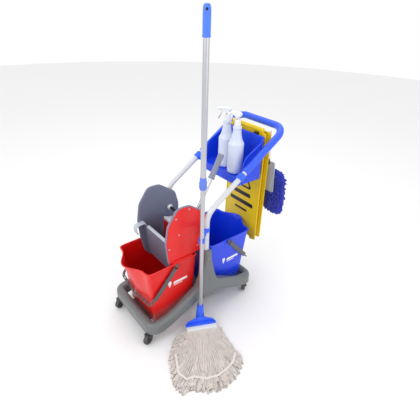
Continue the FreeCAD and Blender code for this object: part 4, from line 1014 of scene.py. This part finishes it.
def make_caddy():
    """Moulded tub: an outer wall from the skirt to a rolled edge, the inner wall and the deck."""
    plan = rounded([(-150, 221, 16), (150, 221, 16), (150, 392, 12), (-150, 392, 12)], 8)
    plan = dense(plan, 8)
    normal = outward(plan) * np.sign(signed_area(plan))
    top = caddy_top(plan[:, 1])
    rings = []

    def ring(back, height):
        rings.append(np.column_stack([plan - normal * back, np.broadcast_to(height, len(plan))]))

    deck = 784.2
    for back, height in ((4, deck - 3.2), (3, deck - 4.5), (3, 745), (2.4, 744.2), (0.8, 744.2),
                         (0, 745)):
        ring(back, height)
    for part in np.linspace(0.1, 1, 12):
        ring(0, 745 + (top - 6 - 745) * part)
    for back, below in ((-2.2, 5.4), (-3.0, 4.2), (-3.2, 2.2), (-2.6, 0.6), (-1.2, 0), (1.4, 0), (2.6, 0.8),
                        (3, 2.2)):
        ring(back, top - below)
    for part in np.linspace(0.9, 0, 8):
        ring(3, deck + 4 + (top - 6 - deck) * part)
    for back, height in ((3.6, deck + 1.6), (5.5, deck + 0.2), (8, deck)):
        ring(back, height)
    shell = skin(rings)
    divider = slab(rounded([(-60, deck - 1, 1), (60, deck - 1, 1), (60, deck + 3, 2), (-60, deck + 3, 2)], 3),
                   330, 333, 1, "xz")
    piece("caddy_tub", join(shell, divider), "cart", blue_caddy, ("caddy",), 45)


def make_caddy_clips():
    """Split rings round the sloping tubes with an arm that hooks over the caddy's wall."""
    a = math.atan(SLOPE)
    axis = np.array([0, math.cos(a), math.sin(a)])
    shapes = []
    for side in (-1, 1):
        foot = np.array([side * TUBE_X, 200, slope_z(200)])
        shapes.append(lathe([(14.1, 0), (18, 0, 1.5), (20, 3, 2), (20, 33, 2), (18, 36, 1.5), (14.1, 36),
                             (14.1, 0)], foot, axis, 40))
        low, high = sorted((side * 150.2, side * 166))
        base = slope_z(200)
        arm = rounded([(206, base - 10, 4), (256, base + 2, 4), (256, base + 14, 4), (206, base + 14, 4)], 5)
        shapes.append(slab(arm, low, high, 2.5))
    piece("caddy_hangers", join(*shapes), "cart", blue_clamp, ("caddy_clips",))


def make_sign_hooks():
    hooks = []
    view = rounded([(392.2, 915, 2), (397.2, 915, 2), (397.2, 970.7, 6), (410.5, 976.7, 3), (410.5, 984.7, 1),
                    (392.2, 984.7, 1)], 5)
    for x in (-90, 64):
        hooks.append(slab(view, x, x + 26, 1))
    piece("sign_hangers", join(*hooks), "cart", black_plastic, ("sign_hooks",))


BOTTLES = {"a": (66, 272), "b": (-32, 290)}
DECK, HEAD_TURN = 784.3, 228


def make_bottle(which):
    """Round bottle with a stepped shoulder, long cone and neck bead; sprayer head and trigger."""
    x, y = BOTTLES[which]
    body = lathe([(0, 2.5), (24, 2.5, 4), (33, 0, 4), (40, 4, 5), (41, 12, 6), (41, 120, 3), (41, 160, 8),
                  (37, 168, 8), (30, 181, 14), (24, 205, 30), (20.6, 236, 6), (23, 240, 2.5), (23, 249, 2.5),
                  (18.5, 252, 2), (12, 252.4, 1), (12, 266), (0, 266)], (x, y, DECK), count=56, steps=6)
    seam = [box((x + s * 41.1 - 0.5, y - 0.5, DECK + 14), (x + s * 41.1 + 0.5, y + 0.5, DECK + 158), 0.4)
            for s in (-1, 1)]
    piece("spray_bottle_" + which, join(body, *seam), "bottle_" + which, bottle_skin,
          ("bottle_" + which,), 50)
    here = {"move": (x, y, DECK + 252), "turn": HEAD_TURN}
    cap = lathe([(12.1, 0.3), (16, 0.3, 1), (16, 14, 1), (14.6, 31, 2), (12, 33, 2), (0, 33)], (0, 0, 0),
                count=72,
                ribs=24, depth=0.45, rib_span=(2, 15))
    head = slab(dense(rounded([(-17, 69, 10), (-21, 58, 5), (-14, 46, 9), (-11, 31, 2), (11, 31, 2),
                               (13, 46, 9), (24, 55, 4), (44, 55, 3), (45, 68, 4), (30, 71, 8)], 6), 5),
                -9.6, 9.6, 5.5, "xz", 5)
    nozzle = lathe([(0, 43), (7.4, 43, 1), (8, 47, 1), (8, 52, 1), (6.6, 53.5, 1), (2, 53.5), (1.6, 51),
                    (0, 51)],
                   (0, 0, 61.5), (1, 0, 0), 8)
    cheeks = [box((28, v, 44.5), (34, v + 2, 56), 0.6) for v in (-8.3, 6.3)]
    pin = lathe([(0, -7.5), (1.15, -7.5), (1.15, 7.5), (0, 7.5)], (31, 0, 47), (0, 1, 0), 16)
    piece("spray_head_" + which, placed(join(cap, head, nozzle, pin, *cheeks), **here), "bottle_" + which,
          white_plastic, ("sprayer_" + which,), 45)
    trigger = slab(dense(rounded([(26, 49.5, 2), (36, 51, 3), (36.5, 38, 14), (49, 13, 4), (43, 9, 4),
                                  (31, 30, 14)], 6), 4), -5.4, 5.4, 2.4, "xz", 4)
    piece("spray_trigger_" + which, placed(trigger, **here), "trigger_" + which,
          white_plastic,
          ("trigger_" + which,), 45)


# ---------------------------------------------------------------- sign

def sign_outline(low, shrink=0.0):
    half = 140 - shrink
    return rounded([(-half, low + 12 + shrink, 9), (-half + 40 - shrink, low + shrink, 6),
                    (-half + 52 - shrink, low + 16 + shrink, 10), (half - 52 + shrink, low + 16 + shrink, 10),
                    (half - 40 + shrink, low + shrink, 6), (half, low + 12 + shrink, 9),
                    (half - 2, 985 - shrink, 16), (-half + 2, 985 - shrink, 16)], 6)


def frame_bar(outer, inner, low, high):
    """A raised rib between two outlines with the same number of points, on an xz face."""
    rings = [np.column_stack([line[:, 0], np.full(len(line), y), line[:, 1]])
             for line, y in ((outer, low), (outer, high), (inner, high), (inner, low))]
    return band(rings)


def make_sign():
    """Two leaves with raised borders, a moulded grip bar, a warning triangle and three plain bars."""
    for name, face_y, low, out in (("front", 414, 303, -1), ("rear", 453, 309, 1)):
        plate = slab(dense(sign_outline(low), 14), face_y - 2.5, face_y + 2.5, 1.2, "xz")
        a, b = sorted((face_y + out * 2.3, face_y + out * 4.0))
        rib = frame_bar(sign_outline(low, 3), sign_outline(low, 9), a, b)
        inner = sorted((face_y - out * 2.3, face_y - out * 5.0))
        struts = [box((x - 1.5, inner[0], low + 40), (x + 1.5, inner[1], 960), 0.8)
                  for x in (-120, -40, 40, 120)]
        struts += [box((-120, inner[0], z - 1.5), (120, inner[1], z + 1.5), 0.8)
                   for z in (420, 600, 780, 940)]
        piece("sign_panel_" + name, join(plate, rib, *struts), "sign", yellow_moulding,
              ("sign_leaf_" + name,), 35)
        a, b = sorted((face_y + out * 2.4, face_y + out * 3.1))
        triangle = [(0, 760), (-78, 628), (78, 628)]
        outer = rounded([(x, z, 12) for x, z in triangle], 6)
        middle = np.array([0, 672.0])
        hole = rounded([(x * 0.74, 672 + (z - 672) * 0.74, 7) for x, z in triangle], 6)
        marks = [frame_bar(outer, hole, a, b),
                 slab(rounded([(-7, 716, 5), (-4, 672, 3), (4, 672, 3), (7, 716, 5)], 4), a, b, 0.3, "xz"),
                 slab(rounded([(-6, 652, 5.9), (6, 652, 5.9), (6, 664, 5.9), (-6, 664, 5.9)], 5), a, b, 0.3,
                      "xz")]
        for z, half, tall in ((585, 70, 26), (528, 96, 26), (478, 52, 14)):
            marks.append(slab(rounded([(-half, z - tall / 2, 6), (half, z - tall / 2, 6),
                                       (half, z + tall / 2, 6),
                                       (-half, z + tall / 2, 6)], 5), a, b, 0.3, "xz"))
        piece("sign_marks_" + name, join(*marks), "sign", black_print)
    bar = rounded([(405.5, 998, 4), (409, 985.6, 3), (419, 985.6, 3), (422.5, 998, 4), (419, 1010.6, 4),
                   (409, 1010.6, 4)], 4)
    grip = slab(bar, -117, 117, 2.2)
    bridges = [box((x - 26, 416.6, 973.2), (x + 26, 450.4, 988.8), 3) for x in (-70, 70)]
    pins = [lathe([(0, -1), (3.4, -1, 0.5), (3.4, 1, 0.5), (0, 1)], (side * 117, 414, 998), (side, 0, 0), 20)
            for side in (-1, 1)]
    piece("sign_handle", join(grip, *bridges, *pins), "sign", yellow_moulding,
          ("sign_grip",))


# ---------------------------------------------------------------- duster

def make_duster():
    """Leaning handle with a paddle on its end, and a chenille mitt of short thick noodles."""
    tilt = math.radians(7)
    axis = (0, -math.sin(tilt), math.cos(tilt))
    rod = lathe([(0, 0), (6.6, 0), (6.2, 30, 20), (7, 120, 30), (7.4, 176, 5), (5, 188, 4), (0, 188)],
                (118, 488, 806), axis, 32)
    paddle_line = rounded([(-61, -142, 12), (29, -142, 12), (29, 48, 10), (-61, 48, 10)], 7)
    hole = rounded([(-28, -128, 4.9), (-4, -128, 4.9), (-4, -118, 4.9), (-28, -118, 4.9)], 7)
    paddle = slab(paddle_line, -28, -23, 1.2, "xz")
    rim = frame_bar(paddle_line * 0.985 + [-0.25, -0.7], paddle_line * 0.93 + [-1.1, -3.3], -29.2, -27.8)
    # a thin black strip behind the top of the paddle, beside the handle
    black_strip = slab(rounded([(-30, 28, 3), (-6, 28, 3), (-10, 60, 3), (-26, 60, 3)], 4), -31.5, -27.6, 1, "xz")
    pocket = frame_bar(hole, (hole - hole.mean(axis=0)) * 0.8 + hole.mean(axis=0), -29, -27.8)
    here = {"move": (134, 514, 768), "tilt": 4}
    piece("duster_stick", rod, "duster", white_plastic, ("duster_handle",))
    piece("duster_paddle", placed(join(paddle, rim, pocket), **here), "duster", paddle_clear)
    piece("duster_black_strip", placed(black_strip, **here), "duster", black_plastic)
    make_mitt(here)


def make_mitt(here):
    """A pillow core covered with noodles, each a bent tapering tube that droops from its root.

    Roots sit on an even spiral over the core; each noodle leaves along the core's normal and
    curves down by the square of its length.
    """
    count, steps, sides = 760, 6, 6
    k = np.arange(count) + 0.5
    height, around = 1 - 2 * k / count, k * math.pi * (3 - math.sqrt(5))
    ring = np.sqrt(1 - height ** 2)
    way = np.column_stack([ring * np.cos(around), ring * np.sin(around), height])
    half = np.array([76, 13, 130.0])
    reach = (np.abs(way) ** 4).sum(axis=1) ** -0.25
    root = way * reach[:, None] * half
    normal = np.sign(way) * np.abs(root / half) ** 3 / half
    normal /= np.linalg.norm(normal, axis=1, keepdims=True)
    t = np.linspace(0, 1, steps)[None, :, None]
    length = chance.uniform(17, 24, count)[:, None, None]
    side = chance.normal(0, 0.35, (count, 1, 3))
    down = np.array([0, 0, -1.0])
    path = root[:, None] + length * (t * (0.62 * normal[:, None] + side * t * 0.8) + 0.62 * t ** 2 * down)
    limit_high, limit_low = np.array([85.5, 21.5, 142]), np.array([-85.5, -20.5, -142])
    path = np.clip(path, limit_low, limit_high)
    path[..., 1] = np.maximum(path[..., 1], -19.5)
    along = np.gradient(path, axis=1)
    along /= np.maximum(np.linalg.norm(along, axis=2, keepdims=True), 1e-6)
    first = np.cross(along, np.array([0.31, 0.87, 0.39]))
    first /= np.maximum(np.linalg.norm(first, axis=2, keepdims=True), 1e-6)
    second = np.cross(along, first)
    radius = 4.3 * np.array([0.7, 1.0, 1.05, 1.0, 0.8, 0.25])[None, :, None, None]
    a = np.linspace(0, TAU, sides, endpoint=False)[None, None, :, None]
    rings = path[:, :, None] + radius * (np.cos(a) * first[:, :, None] + np.sin(a) * second[:, :, None])
    faces = np.array(grid_faces(steps, sides, wrap_columns=True))
    caps = [list(range(sides)), list(range((steps - 1) * sides, steps * sides))]
    starts = np.arange(count) * steps * sides
    all_faces = (faces[None] + starts[:, None, None]).reshape(-1, 4).tolist()
    all_faces += [[i + s for i in cap] for s in starts.tolist() for cap in caps]
    core_line = rounded([(-76, -131, 30), (76, -131, 30), (76, 131, 30), (-76, 131, 30)], 8)
    core = slab(dense(core_line, 10), -14, 14, 12, "xz", 5)
    points, faces = join((rings.reshape(-1, 3), all_faces), core)
    uv = np.zeros((len(points), 2))
    uv[:count * steps * sides, 0] = np.tile(np.repeat(np.linspace(0, 22, steps), sides), count)
    uv[:count * steps * sides, 1] = np.tile(np.arange(sides) / sides, count * steps)
    lowered = (points - np.array([0, 0, 142.5]), faces)
    mitt = piece("duster_mitt", placed(lowered, **here), "duster", chenille, ("duster_pad",), 80,
                 uv)


# ---------------------------------------------------------------- mop

MOP_X, MOP_Y, CLAMP_TURN = 238.0, -79.0, 64
FAN = ((262, -8), (216, -180), (250, -262), (330, -345), (455, -408), (520, -395), (530, -352), (585, -300),
       (612, -235), (612, -165), (596, -98), (560, -50), (475, -42), (388, -28), (318, 2))


def make_poles():
    """Telescopic pole: inner tube, outer tube, twist collar and the capped grip, whose hang hole is filled by
    a black plug as painted shade.
    """
    x, y = MOP_X, MOP_Y
    lower = lathe([(0, 104), (10.7, 104, 1), (10.7, 1150, 1), (0, 1150)], (x, y, 0), count=36)
    piece("mop_pole_lower", lower, "mop", bare_aluminium, ("lower_pole",))
    upper = lathe([(10.8, 863), (12.5, 863, 0.6), (12.5, 1568, 1), (0, 1568)], (x, y, 0), count=36)
    piece("mop_pole_upper", upper, "mop_upper", bare_aluminium, ("upper_pole",))
    collar = lathe([(11, 857), (14.6, 857, 1), (15, 861, 1), (17, 864, 1.5), (17, 892, 2), (15.6, 896, 3),
                    (15.2, 905, 3), (14.4, 914.6, 1.5), (12.6, 915), (12.6, 864)], (x, y, 0), count=64,
                    ribs=16,
                   depth=0.45, rib_span=(866, 892))
    piece("mop_collar_sleeve", collar, "mop_collar", collar_blue, ("twist_collar",), 50)
    grip = lathe([(12.6, 1467), (15.4, 1467, 1), (16, 1471, 1.5), (15, 1478, 2), (15, 1552, 20),
                  (14.2, 1562, 6),
                  (11, 1572, 6), (0, 1574)], (x, y, 0), count=48, ribs=12, depth=0.25, rib_span=(1482, 1544))
    piece("mop_grip_sleeve", grip, "mop_upper", pole_grip_blue, ("pole_grip",), 50)
    # painted shade: a black plug fills the grip's hang hole
    a = math.radians(50)
    eye = lathe([(0, -15.3), (4.6, -15.3, 0.5), (5.4, -14.6, 0.5), (5.4, 14.6, 0.5), (4.6, 15.3, 0.5),
                 (0, 15.3)],
                (x, y, 1556), (math.sin(a), -math.cos(a), 0), 24)
    piece("mop_grip_hole_shade", eye, "mop_upper", black_plastic)


def make_clamp():
    """Socket, forked neck, clamp bar and the hinged jaw."""
    here = {"move": (MOP_X, MOP_Y, 0), "turn": CLAMP_TURN}
    socket = lathe([(0, 48), (12, 48, 3), (14, 62, 8), (16, 82, 10), (20, 106, 6), (21, 112, 2), (21, 116, 2),
                    (18.4, 119, 2), (18.4, 144, 2), (17, 150, 2), (10.8, 150), (10.8, 106), (0, 106)],
                   (0, 0, 0), count=48)
    fins = [slab(rounded([(side * 14, 52, 3), (side * 24, 60, 3), (side * 20, 110, 4), (side * 16, 110, 2)],
                         5),
                 -2, 2, 1, "xz") for side in (-1, 1)]
    neck = slab(rounded([(-24, 36, 3), (24, 36, 3), (13, 66, 8), (-13, 66, 8)], 6), -20, -6, 2.5, "xz")
    wing = slab(rounded([(-80, 37, 3), (80, 37, 3), (72, 47, 6), (18, 74, 14), (-18, 74, 14), (-72, 47, 6)],
                        6),
                -17, -11, 1.6, "xz")
    bar = slab(rounded([(-85, 24, 5), (85, 24, 5), (85, 38, 6), (-85, 38, 6)], 6), -36, -14, 3.5, "xz", 4)
    ribs = [box((x - 2, -34, 37), (x + 2, -18, 43 - abs(x) * 0.03), 1) for x in range(-72, 73, 18)
            if abs(x) > 26]
    piece("mop_clamp", placed(join(socket, *fins, neck, wing, bar, *ribs), **here), "mop",
          blue_clamp,
          ("clamp_body",))
    jaw = slab(rounded([(-82, -62, 8), (82, -62, 8), (82, -41.5, 4), (-82, -41.5, 4)], 6), 27, 36, 2.4, "xy",
               4)
    barrel = lathe([(0, -82), (4.5, -82, 1), (4.5, 82, 1), (0, 82)], (0, -41.5, 31.5), (1, 0, 0), 20)
    teeth = [box((x - 3, -63.5, 28), (x + 3, -60.5, 35), 1) for x in range(-70, 71, 20)]
    piece("mop_clamp_jaw", placed(join(jaw, barrel, *teeth), **here), "mop_jaw",
          white_plastic,
          ("clamp_jaw",))


def curve(points, count):
    """Count even places along a line of points."""
    points = np.asarray(points, float)
    length = np.concatenate([[0], np.cumsum(np.linalg.norm(np.diff(points, axis=0), axis=1))])
    at = np.linspace(0, length[-1], count)
    return np.column_stack([np.interp(at, length, points[:, i]) for i in range(2)])


def yarn_layer(name, count, seed, z_top, z_low, reach, radius, material, replaces=()):
    """Looped strands that fan out over the floor from the clamp to the edge of the spread.

    Each loop leaves the clamp, runs to its own place near the far edge, turns in a half circle and
    comes back beside itself. Slow sine waves of random phase push it sideways and up and down.
    """
    luck = np.random.default_rng(seed)
    a = math.radians(CLAMP_TURN)
    lengthwise, forward = np.array([math.cos(a), math.sin(a)]), np.array([math.sin(a), -math.cos(a)])
    far = curve([(222, -186), (250, -262), (330, -345), (455, -408), (520, -395), (530, -352), (585, -300),
                 (612, -235), (612, -165), (596, -98), (560, -50), (475, -42), (388, -28), (322, 0)], 400)
    half_steps, sides = 26, 6
    u = (np.arange(count) + 0.5) / count
    order = np.clip(u + luck.normal(0, 0.012, count), 0, 1)
    spread = 0.5 + (order - 0.5) * 0.96
    bend = spread + 0.045 * np.sin(TAU * spread)
    target = np.column_stack([np.interp(bend, np.linspace(0, 1, 400), far[:, i]) for i in range(2)])
    start = np.array([MOP_X, MOP_Y]) + forward * 40 + lengthwise * ((order - 0.5) * 158)[:, None]
    share = reach * (1 - np.abs(luck.normal(0, 0.035, count)))[:, None]
    target = start + (target - start) * share
    pull = np.linalg.norm(target - start, axis=1)[:, None]
    t = np.linspace(0, 1, half_steps)[None, :, None]
    handle = start + forward * pull * 0.42
    path = ((1 - t) ** 2 * start[:, None] + 2 * t * (1 - t) * handle[:, None] + t ** 2 * target[:, None])
    way = np.gradient(path, axis=1)
    way /= np.linalg.norm(way, axis=2, keepdims=True)
    aside = np.stack([-way[..., 1], way[..., 0]], -1)
    s = np.linspace(0, 1, half_steps)[None]
    swing = sum(luck.uniform(1.2, 5.0 / k, (count, 1)) * np.sin(TAU * (k * s * luck.uniform(0.7, 1.2,
                                                                                            (count, 1))
                + luck.uniform(0, 1, (count, 1)))) for k in (1, 2, 4)) * np.clip(s * 3, 0, 1)
    gap = radius * (1.15 + 1.1 * np.sin(np.pi * s) ** 2)
    sides_of = []
    for way_sign in (-1, 1):
        sides_of.append(path + aside * (swing + way_sign * gap)[..., None])
    end_way, end_aside = way[:, -1:], aside[:, -1:]
    turn = np.linspace(-math.pi / 2, math.pi / 2, 8)[None, 1:-1, None]
    middle = (path[:, -1:] + end_aside * swing[:, -1:, None])
    tip = middle + radius * 1.15 * (end_way * np.cos(turn) * 1.5 + end_aside * np.sin(turn))
    line = np.concatenate([sides_of[0], tip, sides_of[1][:, ::-1]], axis=1)
    ends = np.concatenate([s[0], np.ones(turn.shape[1]), s[0][::-1]])
    hump = np.clip(1 - ends * 1.15, 0, 1)
    lift = z_low + (z_top - z_low) * hump[None] ** 1.4
    waves = luck.uniform(0.6, 2.2, (count, 1)) * np.sin(TAU * (2.3 * ends[None] + luck.uniform(0, 1,
                                                                                               (count, 1))))
    height = np.maximum(lift + waves * np.sin(np.pi * np.clip(ends, 0, 1))[None], radius + 0.1)
    path = np.concatenate([line, height[..., None]], axis=2)
    steps = path.shape[1]
    along = np.gradient(path, axis=1)
    along /= np.maximum(np.linalg.norm(along, axis=2, keepdims=True), 1e-6)
    first = np.cross(along, np.array([0, 0, 1.0]))
    first /= np.maximum(np.linalg.norm(first, axis=2, keepdims=True), 1e-6)
    second = np.cross(first, along)
    a = np.linspace(0, TAU, sides, endpoint=False)[None, None, :, None]
    rings = path[:, :, None] + radius * (np.cos(a) * first[:, :, None] + np.sin(a) * second[:, :, None])
    faces = np.array(grid_faces(steps, sides, wrap_columns=True))
    starts = np.arange(count) * steps * sides
    all_faces = (faces[None] + starts[:, None, None]).reshape(-1, 4).tolist()
    caps = [list(range(sides))[::-1], list(range((steps - 1) * sides, steps * sides))]
    all_faces += [[i + b for i in cap] for b in starts.tolist() for cap in caps]
    run = np.cumsum(np.linalg.norm(np.diff(path, axis=1, prepend=path[:, :1]), axis=2), axis=1)
    uv = np.empty((count, steps, sides, 2))
    uv[..., 0] = run[:, :, None]
    uv[..., 1] = np.arange(sides) / sides
    return piece(name, (rings.reshape(-1, 3), all_faces), "mop", material, replaces, 80,
                 uv.reshape(-1, 2))


def make_yarn():
    """Four layers of loops, a woven tail band across them and the tape under the clamp."""
    # the bottom layer uses the darker cotton as painted shade under the upper layers
    yarn_layer("mop_yarn_floor", 96, 3, 6, 2.7, 1.0, 2.6, cotton_shaded_under, ("mop_yarn",))
    yarn_layer("mop_yarn_middle", 96, 5, 13, 7.5, 0.985, 2.6, cotton)
    yarn_layer("mop_yarn_top", 92, 8, 21, 13, 0.95, 2.6, cotton)
    yarn_layer("mop_yarn_loose", 46, 12, 24, 17.5, 0.90, 2.5, cotton)
    a = math.radians(CLAMP_TURN)
    lengthwise, forward = np.array([math.cos(a), math.sin(a)]), np.array([math.sin(a), -math.cos(a)])
    middle = np.array([MOP_X, MOP_Y])
    tape = rounded([(-84, -64, 3), (84, -64, 3), (84, -30, 3), (-84, -30, 3)], 4)
    piece("mop_tape", placed(slab(tape, 14, 26.5, 4, "xy", 4), (MOP_X, MOP_Y, 0), CLAMP_TURN), "mop",
          band_cotton)
    far = curve(FAN[1:], 60)[12:-14]
    start = middle + forward * 40
    line = start + (far - start) * 0.82
    wave = 19.5 + 1.0 * np.sin(np.linspace(0, 21, len(line)))
    path = np.column_stack([line, wave])
    section = rounded([(-1.1, -6, 1), (1.1, -6, 1), (1.1, 6, 1), (-1.1, 6, 1)], 3)
    points, faces = sweep(path, section[:, ::-1], (0, 0, 1.0))
    sides = len(section)
    uv = np.column_stack([np.repeat(np.arange(len(path)) * 9.0, sides),
                          np.tile(np.arange(sides) / sides, len(path))])
    piece("mop_tail_band", (points, faces), "mop", band_cotton, (), 60, uv)


def make_mop_clip():
    """Ring on the right-hand tube, a ribbed arm, and a spring claw that grips the pole."""
    away = np.array([MOP_X - TUBE_X, MOP_Y])
    reach, turn = np.linalg.norm(away), math.degrees(math.atan2(away[1], away[0]))
    ring = lathe([(14.1, 568), (16.2, 568, 0.8), (16.2, 592, 0.8), (14.1, 592), (14.1, 568)], (0, 0, 0))
    arm = box((15.6, -7, 570), (reach - 14.8, 7, 590), 2)
    opening = np.radians(np.linspace(32, 328, 30))
    outer = np.column_stack([reach + 15.6 * np.cos(opening), 15.6 * np.sin(opening)])
    inner = np.column_stack([reach + 11.2 * np.cos(opening), 11.2 * np.sin(opening)])
    claw = slab(np.concatenate([outer, inner[::-1]]), 568, 592, 0.8, "xy")
    piece("pole_clip", placed(join(ring, arm, claw), (TUBE_X, 0, 0), turn), "cart",
          blue_clamp,
          ("mop_clip",))


make_camera()
make_studio()
make_floor()
make_chassis()
make_castors()
make_handle()
make_bucket("red_bucket", -1, "red_bucket", red_moulding)
make_bucket("blue_bucket", 1, "blue_bucket", blue_moulding)
piece("red_badge", drop_badge(-210, 300), "red_bucket", white_print)
piece("blue_badge", drop_badge(160, 277), "blue_bucket", white_print)
make_bail("red_bail", -1, "red_bail")
make_bail("blue_bail", 1, "blue_bail")
make_wringer()
make_lever()
make_jaw()
make_caddy()
make_caddy_clips()
make_sign_hooks()
make_bottle("a")
make_bottle("b")
make_sign()
make_duster()
make_poles()
make_clamp()
make_yarn()
make_mop_clip()
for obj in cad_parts["tube_end_caps"].material_slots:
    obj.material = black_plastic
